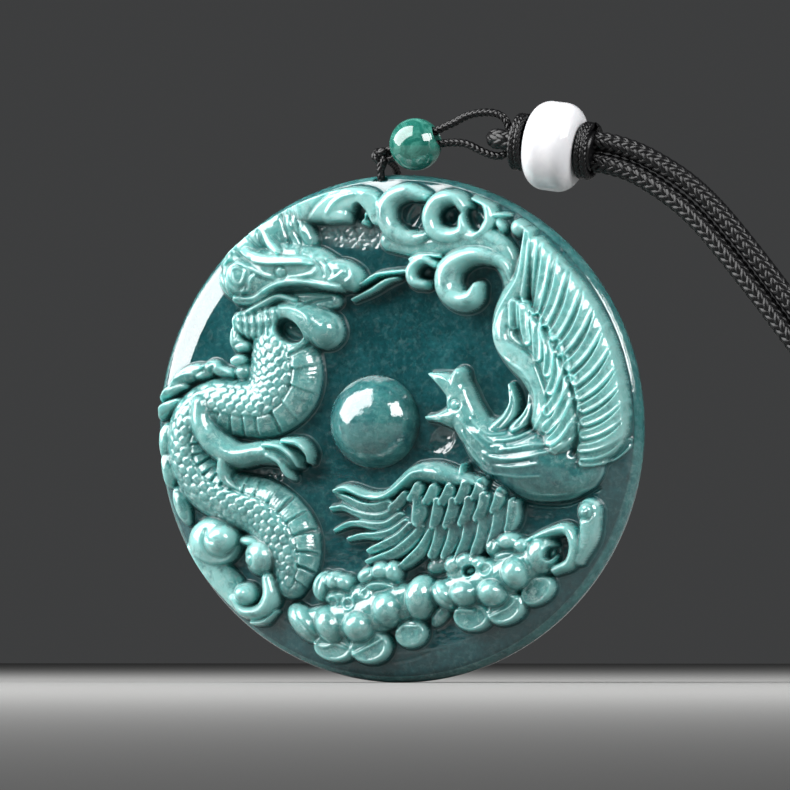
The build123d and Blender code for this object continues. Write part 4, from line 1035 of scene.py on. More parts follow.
# Thin grooves, or beads where the depth is negative: name, half width and depth in mm, then each line's
# rows of x, z
SCORES = [
    ("dragon brow line", 0.22, -0.28, [[(-65, 67), (-57, 64), (-50, 60.5), (-46, 59.5)]]),
    ("dragon under brow", 0.18, 0.22, [[(-64, 65.5), (-57, 62.4), (-50, 59), (-46, 58)]]),
    ("dragon cheek fold", 0.24, -0.3, [[(-50, 54), (-45, 57), (-40, 58.7), (-35, 59.3), (-30, 60.3),
      (-28, 61.5)]]),
    ("dragon lip groove", 0.2, 0.3, [[(-62, 50.2), (-55, 50.6), (-49, 53.6), (-42, 55.6), (-34, 56),
      (-26, 55.2)]]),
    ("dragon jaw groove", 0.18, 0.25, [[(-57, 44.6), (-50, 47.4), (-44, 49.4), (-38, 48.6)]]),
    ("mane groove", 0.25, 0.35, [[(-64, 71), (-59, 67), (-55, 66)],
     [(-59, 77), (-54, 72), (-49, 70)],
     [(-44, 85), (-42, 78), (-40, 72)]]),
    ("mane groove", 0.2, 0.34, [[(-53.6, 78), (-52.2, 73.4), (-49.4, 70.2)]]),
    ("mane fold", 0.2, 0.3, [[(-41, 88), (-39.5, 82), (-38, 77), (-34, 72)]]),
    ("mane fold", 0.18, -0.26, [[(-37.4, 88), (-36.4, 82.6), (-35.4, 77.4)]]),
    ("cloud fold", 0.2, -0.3, [[(-24.6, 84.6), (-22.4, 88), (-18.4, 90.8), (-13.4, 92)]]),
    ("cloud fold", 0.2, 0.3, [[(-33.4, 83), (-30, 87.6), (-25, 91.6), (-20, 93.4)]]),
    ("cloud fold", 0.18, -0.26, [[(-9.4, 92.4), (-5, 91), (-3.6, 87)]]),
    ("mane groove", 0.2, 0.3, [[(-37, 80), (-36, 74), (-35, 69)]]),
    ("neck rib", 0.18, 0.3, [[(-64, 47), (-63.5, 41), (-63, 36)],
     [(-61, 47), (-60, 41), (-60, 36)],
     [(-58, 45), (-57, 40), (-57.4, 35.5)],
     [(-55, 46), (-54, 41), (-54.5, 36)],
     [(-52, 47), (-51, 42), (-51.5, 37)],
     [(-49, 47), (-48, 42), (-48.6, 37)],
     [(-46, 48), (-45, 43.6), (-45.6, 39)]]),
    ("toe groove", 0.2, 0.4, [[(-48, -8.4), (-43, -9.6), (-39.6, -13), (-38.8, -17)],
     [(-46, -5.4), (-40, -6.8), (-35.6, -10), (-34.6, -14)]]),
    ("tail rachis", 0.22, 0.4, [[(54, 50), (56, 49), (60, 44), (65, 39), (70, 31), (74, 23), (77, 14),
      (78, 5), (78, -5), (76, -11)]]),
    ("tail rachis bead", 0.16, -0.3, [[(56.6, 48), (61.2, 43.2), (66.4, 37.6), (70.8, 30), (74.8, 22),
      (77.8, 13.4), (79, 5), (78.8, -5)]]),
    ("train edge", 0.2, 0.35, [[(50, 39), (51, 34), (57, 30), (62, 26), (65, 19), (67, 12), (67, 5)]]),
    ("train edge bead", 0.2, -0.3, [[(57, 77), (55.6, 70), (55, 62), (53.6, 57), (50.6, 52), (46.8, 46),
      (44.8, 41), (44, 37), (45, 31.6), (48, 27.6), (52, 24.6), (57, 21.4), (60, 17.6), (62, 12), (61.4, 6),
      (59, 1.4), (53, -1.4)]]),
    ("body lock", 0.17, -0.26, [[(46.8, -5.2), (50.7, -5), (55.9, -3.6), (60.4, -0.9), (63.7, 2.2),
      (65.6, 5.9)],
     [(49.4, -8.9), (54.6, -8.3), (61, -7.1), (70, -6.8)],
     [(41.5, -10.2), (48, -12.4), (56, -12.4), (63.7, -10.8), (70, -8.9), (76.5, -5.2)]]),
    ("body lock", 0.14, -0.2, [[(39.6, -2.1), (42.8, -5), (46.6, -7), (50, -7.4)],
     [(40.9, -12.8), (45.5, -14.8), (54.6, -15.8), (63.7, -14.6)],
     [(36.3, 3.4), (39.4, -0.3), (44.2, -2.8), (49.4, -2.4)],
     [(38.5, -15.5), (43, -18), (50.6, -19), (57, -19.6), (64, -19.4)]]),
    ("body lock", 0.14, -0.18, [[(34, -8), (36.6, -12), (39.5, -14.6)],
     [(32.5, -2), (35.4, -7), (39, -10.4)],
     [(31, 4), (34.5, -0.5), (38.5, -4.4), (42, -7.4)]]),
    ("body groove", 0.16, 0.2, [[(45, -6.8), (50, -6.8), (56, -5.4), (62, -2)],
     [(44, -10.8), (50, -10.8), (58, -9.8), (66, -8.6)],
     [(42, -14.4), (50, -14.6), (60, -13.4)]]),
    ("phoenix belly edge", 0.2, 0.3, [[(31, -13), (38, -21), (50, -27), (60, -30), (72, -30), (80, -26),
      (85, -24)]]),
    ("jaw loop", 0.2, -0.35, [[(-65.5, 67.5), (-67.8, 65), (-67, 60.5), (-65.5, 56), (-64, 52.8),
      (-62, 51.8), (-60, 53), (-58.5, 55)]]),
    ("jaw loop", 0.18, -0.32, [[(-55.5, 61.5), (-58.5, 64.2), (-63, 65), (-65, 62.5), (-64.5, 58),
      (-62, 54.5), (-59, 54), (-56.5, 54.8), (-55.5, 58), (-53.5, 60.3)]]),
    ("jaw loop", 0.16, -0.3, [[(-57.5, 62), (-60.5, 63.5), (-62.8, 63), (-63, 60), (-61.5, 57.5),
      (-59.5, 57), (-58.3, 59), (-57.5, 62)]]),
    ("jaw stripe", 0.16, -0.25, [[(-70, 60.5), (-67.5, 57), (-64.5, 53.5)],
     [(-70.5, 57.5), (-68, 54.2), (-65.2, 51)]]),
    ("cloud spiral", 0.3, 0.45, [[(-74.8, -40), (-75.4, -45), (-73, -49.2), (-69.3, -50.6), (-65.6, -48.6),
      (-62, -43.5)]]),
    ("cloud edge", 0.2, -0.25, [[(-80, -49.5), (-75, -52.2), (-70, -52.8), (-65.6, -50.4), (-61, -42.5)]]),
    ("cloud spiral", 0.16, 0.25, [[(-74.2, -42.4), (-73.2, -44), (-71, -44.6)]]),
    ("wing edge line", 0.18, -0.32, [[(-21.5, -24.4), (-18, -22.9), (-13, -25), (-8, -27.3), (-3, -27.8),
      (3, -25.3), (8, -21.3), (12, -18), (16, -17)]]),
    ("wing edge line", 0.15, -0.2, [[(7.5, -17.8), (10, -14.8), (12, -13.6)]]),
    ("petal crease", 0.16, 0.25, [[(-38, -70.5), (-35, -76), (-30, -82)],
     [(19, -61), (22, -66), (26.5, -69.8)]]),
    ("petal crease", 0.16, 0.22, [[(9.5, -60), (7.6, -66), (8.6, -73)],
     [(-26, -57), (-27.5, -60.5), (-28.6, -65)],
     [(-23.5, -57), (-24, -60), (-25, -62.6)],
     [(-6, -54), (-6.6, -57), (-9, -59)],
     [(60, -43), (58, -48), (59, -54)],
     [(64, -43.5), (65.5, -49), (63.4, -55)],
     [(44, -43.5), (43.6, -47), (42, -49)]]),
    ("petal arch", 0.28, 0.4, [[(-27, -67), (-24.4, -64.2), (-20, -63.8), (-16, -65)],
     [(-10, -61.4), (-6, -60), (-1, -60), (3, -61.4)],
     [(42.4, -50.4), (46, -48.6), (50, -48), (55, -49.6)]]),
    ("petal arch bead", 0.16, -0.22, [[(-9.4, -62.6), (-5.6, -61.2), (-1, -61.2), (2.4, -62.6)]]),
    ("wisp groove", 0.16, 0.24, [[(47, 0), (50.6, 4.4), (52, 9.4), (51, 14)],
     [(54.6, 0.6), (57.6, 4.6), (58.8, 9)]]),
    ("fin edge", 0.18, -0.26, [[(-90.4, 18.6), (-87.6, 22), (-84, 24.6), (-80.4, 25.4), (-77, 25.2)]]),
    ("fin fold", 0.16, -0.22, [[(-88.4, 20), (-85, 21.8), (-81, 21.6), (-77.6, 20.6)]]),
    ("fin edge", 0.18, -0.28, [[(-77.6, 24), (-74.8, 27), (-72, 26.8), (-70.4, 24.4), (-67.4, 23.4),
      (-65.4, 22)]]),
    ("fin fold", 0.2, 0.25, [[(-77, 23.2), (-74.4, 22.6), (-72.6, 24.4)]]),
    ("fin edge", 0.16, -0.24, [[(-64.4, 40.4), (-66, 37), (-66.2, 33.6), (-64.6, 31)],
     [(-95, 12.6), (-92.6, 16.4), (-89.4, 17.6), (-86, 18)],
     [(-97, 7), (-94, 10), (-91, 11.6), (-88.4, 12.6)]]),
    ("fin fold", 0.18, 0.25, [[(-64.6, 31.6), (-62.4, 33.4), (-59.6, 34.4)]]),
    ("beak line", 0.14, 0.26, [[(15.2, 3.8), (18.4, 3.7), (22, 3.9)]]),
    ("head line", 0.14, -0.18, [[(20.4, 18.6), (23.6, 14.6), (25.8, 11), (26.4, 8)]]),
    ("leaf fold", 0.18, -0.3, [[(-31, -84.4), (-27, -85.8), (-22, -85), (-18, -86)],
     [(-15.5, -89.5), (-11, -87.4), (-6, -84.8), (-1.8, -82.4)],
     [(27.5, -72), (31, -71.6), (35, -72)],
     [(42, -74.4), (46, -72.4), (50, -70.4), (53.6, -66.4)]]),
    ("gem fold", 0.16, -0.3, [[(4, -80), (6.4, -77.8), (12, -77.8)]]),
    ("nostril", 0.16, -0.24, [[(-19.5, 64.5), (-16, 64), (-13.6, 61.8), (-13.4, 59), (-15.4, 57.4)]]),
    ("nose wrinkle", 0.16, 0.24, [[(-28.5, 65.6), (-25.8, 63), (-24.6, 60)],
     [(-25, 66), (-22.6, 63.6), (-21.4, 60.6)]]),
    ("nose wrinkle", 0.14, -0.2, [[(-22.4, 57.8), (-19, 59.4), (-16.4, 61.4)]]),
    ("jaw fold", 0.16, -0.22, [[(-44, 47.5), (-38, 47), (-33, 44.6), (-30.6, 41)]]),
    ("jaw fold", 0.16, 0.22, [[(-26, 45), (-22.4, 43), (-20.6, 39.6)]]),
    ("mouth line", 0.2, 0.4, [[(-36, 48), (-30, 50), (-24, 51)]]),
    ("rim line", 0.14, 0.12, [[(0, -92), (8, -90.5), (15, -88)]]),
]

# Rings cut or raised: x, z and radius in hundredths, half width and depth in mm
RINGS = [
    (-42.5, 61.5, 2.4, 0.14, 0.3), (-42.5, 61.5, 0.6, 0.4, -0.25), (-57, -51.8, 2.4, 0.2, 0.35),
    (-59.5, -65, 3.2, 0.18, 0.35), (-22.5, -68, 2, 0.14, -0.25), (-16, -69, 2.3, 0.14, -0.25),
    (-9, -65, 1.8, 0.14, -0.25), (33, -56.5, 2, 0.14, -0.25), (40.5, -55.5, 2.6, 0.14, -0.25),
    (81, -33, 3.5, 0.16, 0.3), (29, 8.8, 2.1, 0.16, 0.3), (29, 8.8, 0.7, 0.3, -0.16),
    (-28, 68, 1.6, 0.3, -0.2), (-24, 66, 1.6, 0.3, -0.2),
]


@dataclass(frozen=True)
class Wisps:
    """Wisps of another colour in the stone, with their share of it where they are strongest."""

    code: str
    size_mm: float
    share: float


@dataclass(frozen=True)
class CarvedJade:
    """Jadeite, carved with rotary burrs and wax polished.

    It is hazy and slightly see-through. Raised parts get a paler tone than the deep field, partly the stone's
    own and partly painted highlight; a painted highlight runs along the sharp ridges, and the grooves stay
    duller and are painted darker as shade.
    """

    name: str = "polished_blue_green_jadeite"
    # The palest tone, also painted as a highlight along sharp ridges
    pale: str = "729F9C"
    # The painted shade colour laid in the grooves
    groove: str = "053B3A"
    chipped: str = "7F9594"
    fleck: str = "4E7D7B"
    tones: tuple[tuple[float, str], ...] = (
        (0.36, "0A3437"), (0.58, "154347"), (0.86, "316261"), (1.36, "4E7F7C"), (1.75, "729F9C"),
    )
    tone_span: float = 1.8
    tone_shift: float = -0.26
    cloud_mm: float = 5.0
    cloud_share: float = 0.85
    grain_mm: float = 0.75
    grain_share: float = 0.6
    fleck_mm: float = 1.6
    fleck_reach: tuple[float, float] = (0.16, 0.05)
    fleck_share: float = 0.14
    wisps: tuple[Wisps, ...] = (Wisps("0F3B3E", 2.4, 0.66), Wisps("8DA7A3", 0.8, 0.62))
    wisp_range: tuple[float, float] = (0.5, 0.68)
    wisp_heights: tuple[float, float] = (0.25, 0.6)
    wisp_in_field: float = 0.12
    # How far the painted groove shade, the pale rough ground and the painted ridge highlight cover the tone
    groove_shade_share: float = 0.44
    chipped_share: float = 0.66
    ridge_highlight_share: float = 0.7
    dent_mm: float = 1.1
    dent_depth: float = 0.1
    dent_strength: float = 0.7
    ior: float = 1.66
    roughness: float = 0.09
    groove_roughness: float = 0.38
    coat: float = 0.3
    haze: float = 0.8
    haze_mm: float = 1.1

    def build(self) -> bpy.types.Material:
        """Make the material.

        Returns:
            The material, which reads the carving colour layer where a piece has one.
        """
        material, tree, where = new_material(self.name)
        layer = add_node(tree, "ShaderNodeVertexColor", layer_name="carving").outputs
        wear_and_painted_light = add_node(tree, "ShaderNodeSeparateColor", {"Color": layer["Color"]}).outputs
        colour = self.marble(tree, where, wear_and_painted_light["Red"], self.clouded(tree, where, wear_and_painted_light["Red"]))
        # Painted shade in the grooves, the pale rough ground, and a painted highlight along sharp ridges
        for worn, part, code in ((wear_and_painted_light["Green"], self.groove_shade_share, self.groove),
                                 (layer["Alpha"], self.chipped_share, self.chipped),
                                 (wear_and_painted_light["Blue"], self.ridge_highlight_share, self.pale)):
            colour = mixed(tree, reckon(tree, "MULTIPLY", worn, part), colour, code)
        dull = reckon(tree, "MAXIMUM", wear_and_painted_light["Green"], layer["Alpha"])
        dents = {"Strength": self.dent_strength, "Distance": self.dent_depth * MM,
                 "Height": noise(tree, where, self.dent_mm, detail=3.5)}
        close_material(tree, {
            "Base Color": colour, "IOR": self.ior,
            "Roughness": mapped(tree, dull, (0.0, 1.0), (self.roughness, self.groove_roughness)),
            "Normal": add_node(tree, "ShaderNodeBump", dents).outputs[0],
            "Coat Weight": mapped(tree, dull, (0.0, 1.0), (self.coat, 0.0)), "Coat Roughness": 0.03,
            "Coat IOR": 1.6,
            "Subsurface Weight": self.haze, "Subsurface Radius": (0.25, 1.0, 0.95),
            "Subsurface Scale": self.haze_mm * MM,
        }, subsurface_method="BURLEY")
        return material

    def clouded(self, tree: Tree, where: Socket, raised: Socket) -> Socket:
        """The stone's tones, from the deep field's to the palest crests', with soft clouds, grain and flecks.

        Args:
            tree: The material's node tree.
            where: The place that the patterns follow.
            raised: The surface's tone, which carries painted light and shade.

        Returns:
            The colour.
        """
        cloud = noise(tree, where, self.cloud_mm, detail=5.0, roughness=0.6, distortion=0.8)
        grain = noise(tree, where, self.grain_mm, detail=4.0, roughness=0.65)
        tone = reckon(tree, "MULTIPLY_ADD", cloud, self.cloud_share, raised)
        tone = reckon(tree, "MULTIPLY_ADD", grain, self.grain_share, tone)
        share = reckon(tree, "MULTIPLY_ADD", tone, 1 / self.tone_span, self.tone_shift / self.tone_span)
        ramp = add_node(tree, "ShaderNodeValToRGB", {"Fac": share})
        for k, (position, code) in enumerate(self.tones):
            if k > 1:
                ramp.color_ramp.elements.new(position / self.tone_span)
            ramp.color_ramp.elements[k].position = position / self.tone_span
            ramp.color_ramp.elements[k].color = linear(code)
        cells = {"Vector": where, "Scale": per_metre(self.fleck_mm), "Randomness": 1.0}
        flecks = add_node(tree, "ShaderNodeTexVoronoi", cells).outputs["Distance"]
        spots = mapped(tree, flecks, self.fleck_reach, (0.0, self.fleck_share))
        return mixed(tree, spots, ramp.outputs["Color"], self.fleck)

    def marble(self, tree: Tree, where: Socket, raised: Socket, colour: Socket) -> Socket:
        """Dark veins and milky wisps through the stone, faintest in the deep field.

        Args:
            tree: The material's node tree.
            where: The place that the patterns follow.
            raised: The surface's tone, which carries painted light and shade.
            colour: The stone's colour under the wisps.

        Returns:
            The colour with the wisps on it.
        """
        height = mapped(tree, raised, self.wisp_heights, (self.wisp_in_field, 1.0))
        for wisp in self.wisps:
            cloud = noise(tree, where, wisp.size_mm, detail=6.0, roughness=0.68, distortion=0.6)
            patch = mapped(tree, cloud, self.wisp_range, (0.0, wisp.share))
            colour = mixed(tree, reckon(tree, "MULTIPLY", patch, height), colour, wisp.code)
        return colour


@dataclass(frozen=True)
class TurnedStone:
    """A small bead, lathe turned and buffed, of jade with soft clouds inside it."""

    name: str
    body: str
    cloud: str
    cloud_mm: float
    haze: float
    haze_mm: float = 1.2
    cloud_range: tuple[float, float] = (0.45, 0.72)
    ior: float = 1.62
    roughness: float = 0.07

    def build(self) -> bpy.types.Material:
        """Make the material: clouds of two tones under a sharp polish, with light scattered inside.

        Returns:
            The finished material.
        """
        material, tree, where = new_material(self.name)
        clouds = noise(tree, where, self.cloud_mm, detail=6.0, roughness=0.62, distortion=1.2)
        share = mapped(tree, clouds, self.cloud_range, (0.0, 1.0))
        close_material(tree, {
            "Base Color": mixed(tree, share, linear(self.body), self.cloud),
            "IOR": self.ior, "Roughness": self.roughness, "Subsurface Weight": self.haze,
            "Subsurface Radius": (0.8, 1.0, 1.0), "Subsurface Scale": self.haze_mm * MM,
        })
        return material


@dataclass(frozen=True)
class BraidedPolyester:
    """Continuous-filament polyester, dyed black and braided.

    The filaments lie side by side in each yarn, so every yarn throws a thin grey light along its crown
    while the gaps between the yarns stay black.
    """

    name: str
    dye: str = "060607"
    sheen: str = "8E8C90"
    filament_mm: float = 0.05
    roughness: float = 0.34

    def build(self) -> bpy.types.Material:
        """Make the material.

        Returns:
            The finished material.
        """
        material, tree, where = new_material(self.name)
        fuzz = {"Strength": 0.35, "Distance": self.filament_mm * MM,
                "Height": noise(tree, where, self.filament_mm * 4, detail=3.0)}
        close_material(tree, {
            "Base Color": linear(self.dye), "Roughness": self.roughness, "IOR": 1.57,
            "Specular IOR Level": 0.22, "Sheen Weight": 0.02, "Sheen Roughness": 0.4,
            "Sheen Tint": linear(self.sheen),
            "Normal": add_node(tree, "ShaderNodeBump", fuzz).outputs[0],
        })
        return material


@dataclass
class JadeDisc:
    """The jade disc: its carved face in sheets and its rim, back and bore as one turned body."""

    carving: Carving
    back_depth: float = 4.0
    back_round: float = 2.2
    back_rings: tuple[float, ...] = (0.8, 0.6, 0.4, 0.2, 0.05)
    bore_diameter: float = 1.7
    bore_inlet: tuple[float, float, float] = (-1.9, 0.3, 28.2)
    bore_outlet: tuple[float, float, float] = (-1.9, -4.0, 22.6)
    bore_sides: int = 32
    drill_overrun: float = 2.0
    sides: int = 360
    bend_rows: int = 15
    back_rows: int = 13
    least_step: float = 0.05
    overlap: float = 0.6
    ledge: tuple[float, float] = (3.0, 1.2)
    rim_tone: float = 0.32
    rim_start: float = 0.93
    rim_blend: float = 0.05
    pearl_tone: float = 0.3
    pearl_place: tuple[float, float] = (-2.17, 0.72)
    pearl_radius: float = 5.45
    pearl_sink: float = 1.0
    pearl_root: float = 0.4
    pearl_tip: float = 0.002
    pearl_rings: int = 96
    pearl_sides: int = 160

    def profile(self) -> list[tuple[float, float]]:
        """Radius and height from a ledge under the face's edge, round the rim to the middle of the back.

        Returns:
            Rows of radius and height in millimetres.
        """
        face = self.carving
        edge, height, bend, tilt = face.rim_bend()
        start = face.edge_share * face.disc_radius
        top = float(face.base_height(start))
        rows = [(start - self.overlap - self.ledge[0], top - self.ledge[1]),
                (start - self.overlap, top - 0.5 * self.overlap), (start, top)]
        for turn in np.linspace(tilt, math.pi / 2, self.bend_rows):
            radius = edge + bend * (math.sin(turn) - math.sin(tilt))
            if radius > start + self.least_step:
                rows.append((radius, height - bend * (math.cos(tilt) - math.cos(turn))))
        widest = rows[-1][1]
        fall = widest + self.back_depth
        for turn in np.linspace(0, math.pi / 2, self.back_rows)[1:]:
            inset = self.back_round * (1 - math.cos(turn))
            rows.append((face.disc_radius - inset, widest - fall * math.sin(turn)))
        return rows + [(face.disc_radius * share, -self.back_depth) for share in self.back_rings]

    def build_body(self) -> bpy.types.Object:
        """Turn the rim and back, close it under the face and drill the bore through it.

        Returns:
            The drilled body.
        """
        rows = self.profile()
        turns = 2 * math.pi * np.arange(self.sides) / self.sides
        points = [place(0, rows[0][1], 0)]
        for radius, height in rows:
            points += [place(radius * math.cos(t), height, radius * math.sin(t)) for t in turns]
        points.append(place(0, -self.back_depth, 0))
        faces = []
        for k in range(self.sides):
            n = (k + 1) % self.sides
            faces.append((0, 1 + k, 1 + n))
            for ring in range(len(rows) - 1):
                low, high = 1 + ring * self.sides, 1 + (ring + 1) * self.sides
                faces.append((low + k, high + k, high + n, low + n))
            last = 1 + (len(rows) - 1) * self.sides
            faces.append((last + n, last + k, len(points) - 1))
        mesh = bpy.data.meshes.new("rim_and_back")
        mesh.from_pydata(points, [], faces)
        mesh.polygons.foreach_set("use_smooth", np.ones(len(faces), dtype=bool))
        body, drill = add_object("rim_and_back", mesh), self.drill()
        cut = body.modifiers.new("bore", "BOOLEAN")
        cut.operation = "DIFFERENCE"
        cut.solver = "EXACT"
        cut.object = drill
        bpy.context.view_layer.update()
        drilled = bpy.data.meshes.new_from_object(body.evaluated_get(bpy.context.evaluated_depsgraph_get()))
        body.modifiers.clear()
        body.data = drilled
        bpy.data.objects.remove(drill)
        return body

    def drill(self) -> bpy.types.Object:
        """The bore's cylinder, a little longer than the way through the stone.

        Returns:
            The cylinder to cut with.
        """
        inlet, outlet = Vector(place(*self.bore_inlet)), Vector(place(*self.bore_outlet))
        way = (outlet - inlet).normalized()
        side = way.cross(Vector((1, 0, 0))).normalized()
        across = way.cross(side)
        points, count = [], self.bore_sides
        for end in (inlet - way * self.drill_overrun * MM, outlet + way * self.drill_overrun * MM):
            for k in range(count):
                turn = 2 * math.pi * k / count
                out = side * math.cos(turn) + across * math.sin(turn)
                points.append(end + out * self.bore_diameter / 2 * MM)
        faces = [(k, (k + 1) % count, count + (k + 1) % count, count + k) for k in range(count)]
        faces += [tuple(range(count))[::-1], tuple(range(count, 2 * count))]
        mesh = bpy.data.meshes.new("bore_drill")
        mesh.from_pydata(points, [], faces)
        mesh.update()
        return add_object("bore_drill", mesh)

    def build_pearl(self) -> bpy.types.Object:
        """The pearl: a ball half sunk in the field, cut off below the field.

        Returns:
            The pearl.
        """
        start = math.acos(min(1.0, (self.pearl_sink - self.pearl_root) / self.pearl_radius))
        x0, z0 = self.pearl_place
        centre = self.carving.field_height - self.pearl_sink
        rows, tip = [], self.pearl_tip
        for ring in range(self.pearl_rings + 1):
            lean = tip + (start - tip) * ring / self.pearl_rings
            radius = self.pearl_radius * math.sin(lean)
            for k in range(self.pearl_sides):
                turn = 2 * math.pi * k / self.pearl_sides
                rows.append(place(x0 + radius * math.cos(turn), centre + self.pearl_radius * math.cos(lean),
                                  z0 + radius * math.sin(turn)))
        number = np.arange(len(rows)).reshape(self.pearl_rings + 1, self.pearl_sides)
        return mesh_object("pearl", np.array(rows), ring_faces(number))

    def build(self, jade: bpy.types.Material) -> None:
        """Carve the face and make and dress every sheet, the body and the pearl.

        Args:
            jade: The carved stone's material.
        """
        self.carving.carve()
        for owner, points, faces, normals, wear_and_painted_light in self.carving.pieces():
            sheet = mesh_object(owner.value, points, faces, normals)
            paint(sheet, wear_and_painted_light)
            finish_piece(sheet, jade, ("jade_disc",))
        body = self.build_body()
        radius = np.array([math.hypot(v.co.x / MM - DISC_CENTRE[0], v.co.z / MM - DISC_CENTRE[2])
                           for v in body.data.vertices]) / self.carving.disc_radius
        paint(body, np.clip((radius - self.rim_start) / self.rim_blend, 0, 1)[:, None] * self.rim_tone)
        finish_piece(body, jade, ("jade_disc",))
        pearl = self.build_pearl()
        paint(pearl, np.full((len(pearl.data.vertices), 1), self.pearl_tone))
        finish_piece(pearl, jade, ("jade_disc",))


@dataclass
class Braid:
    """A round braid: yarns that wind both ways round a path and pass over and under each other.

    The lead is the length in which a yarn winds once round. A yarn passes over two others, or as many
    as are given, then under as many, and is an arch over a plain core: its underside never shows.
    """

    diameter: float
    yarns_each_way: int
    lead: float
    passes_over: int = 2
    sample: float = 0.36
    flatness: float = 0.5
    sink_share: float = 0.05
    bulk: float = 1.1
    arch: tuple[tuple[float, float], ...] = ((-1, -0.3), (-0.6, 0.6), (0, 1), (0.6, 0.6), (1, -0.3))
    core_sides: int = 8
    core_gap: float = 2.2
    crossing_sharpness: float = 1.8

    def build(self, name: str, path: Grid) -> bpy.types.Object:
        """Braid a cord along a path.

        Args:
            name: The object's name.
            path: Points in metres.

        Returns:
            The braid as one mesh.
        """
        along, centre, normal, binormal = frames_along(path, self.sample * MM)
        tangent = np.cross(normal, binormal)
        count = self.yarns_each_way
        lead = self.lead * MM
        radius = self.bulk * self.diameter / 2 * MM
        slant = math.atan(2 * math.pi * radius / lead)
        half_width = math.pi * radius / count * math.cos(slant)
        crown = half_width * self.flatness
        base = radius - crown
        sheets = []
        for way in (1, -1):
            for k in range(count):
                turn = way * 2 * math.pi * along / lead + 2 * math.pi * k / count
                crossing = 2 * count * along / lead
                phase = 2 * k + way * crossing - (self.passes_over - 1) / 2
                lift = np.tanh(self.crossing_sharpness * way * np.cos(math.pi * phase / self.passes_over)) - 1
                out = normal * np.cos(turn)[:, None] + binormal * np.sin(turn)[:, None]
                around = binormal * np.cos(turn)[:, None] - normal * np.sin(turn)[:, None]
                spine = centre + out * (base + self.sink_share * self.diameter * MM * lift)[:, None]
                run = tangent * math.cos(slant) + around * (way * math.sin(slant))
                cross = np.cross(out, run)
                sheets.append([spine + cross * (half_width * a) + out * (crown * h) for a, h in self.arch])
        core = base - self.core_gap * self.sink_share * self.diameter * MM
        turns = -2 * math.pi * np.arange(self.core_sides + 1) / self.core_sides
        sheets.append([centre + (normal * math.cos(t) + binormal * math.sin(t)) * core for t in turns])
        points, faces, offset, steps = [], [], 0, len(along)
        for sheet in sheets:
            number = offset + np.arange(len(sheet) * steps).reshape(len(sheet), steps)
            faces.append(np.stack([number[:-1, :-1], number[:-1, 1:], number[1:, 1:], number[1:, :-1]],
                                  axis=-1).reshape(-1, 4))
            points.append(np.concatenate(sheet))
            offset += len(sheet) * steps
        return mesh_object(name, np.concatenate(points), np.concatenate(faces))


def frames_along(path: Grid, sample: float) -> tuple[Grid, Grid, Grid, Grid]:
    """Space points evenly along a path and give each a frame that doesn't twist.

    Args:
        path: Points in metres.
        sample: Distance between the new points in metres.

    Returns:
        Distances along, centres, normals and binormals.
    """
    steps = np.linalg.norm(np.diff(path, axis=0), axis=1)
    reach = np.concatenate([[0], np.cumsum(steps)])
    count = max(8, int(round(reach[-1] / sample)))
    along = np.linspace(0, reach[-1], count + 1)
    centre = np.stack([np.interp(along, reach, path[:, k]) for k in range(3)], axis=-1)
    tangent = np.gradient(centre, axis=0)
    tangent /= np.linalg.norm(tangent, axis=1, keepdims=True)
    start = np.array((0.0, 1.0, 0.0)) if abs(tangent[0][1]) < 0.9 else np.array((1.0, 0.0, 0.0))
    normals = [start - tangent[0] * start.dot(tangent[0])]
    for t in tangent[1:]:
        carried = normals[-1] - t * normals[-1].dot(t)
        normals.append(carried / np.linalg.norm(carried))
    normal = np.array(normals)
    normal[0] /= np.linalg.norm(normal[0])
    return along, centre, normal, np.cross(tangent, normal)


def route_points(name: str, route: list[tuple[float, float, float]]) -> Grid:
    """Points on the smooth line that a cord's chosen route controls.

    Args:
        name: A name for the line.
        route: The chosen points in metres.

    Returns:
        Points in metres, close together.
    """
    curve = bpy.data.curves.new(name, "CURVE")
    curve.dimensions = "3D"
    spline = curve.splines.new("NURBS")
    spline.points.add(len(route) - 1)
    for point, place_at in zip(spline.points, route):
        point.co = (*place_at, 1.0)
    spline.order_u = 3
    spline.use_endpoint_u = True
    spline.resolution_u = 16
    holder = add_object(name, curve)
    bpy.context.view_layer.update()
    mesh = bpy.data.meshes.new_from_object(holder.evaluated_get(bpy.context.evaluated_depsgraph_get()))
    points = np.array([v.co[:] for v in mesh.vertices])
    bpy.data.objects.remove(holder)
    bpy.data.meshes.remove(mesh)
    return points


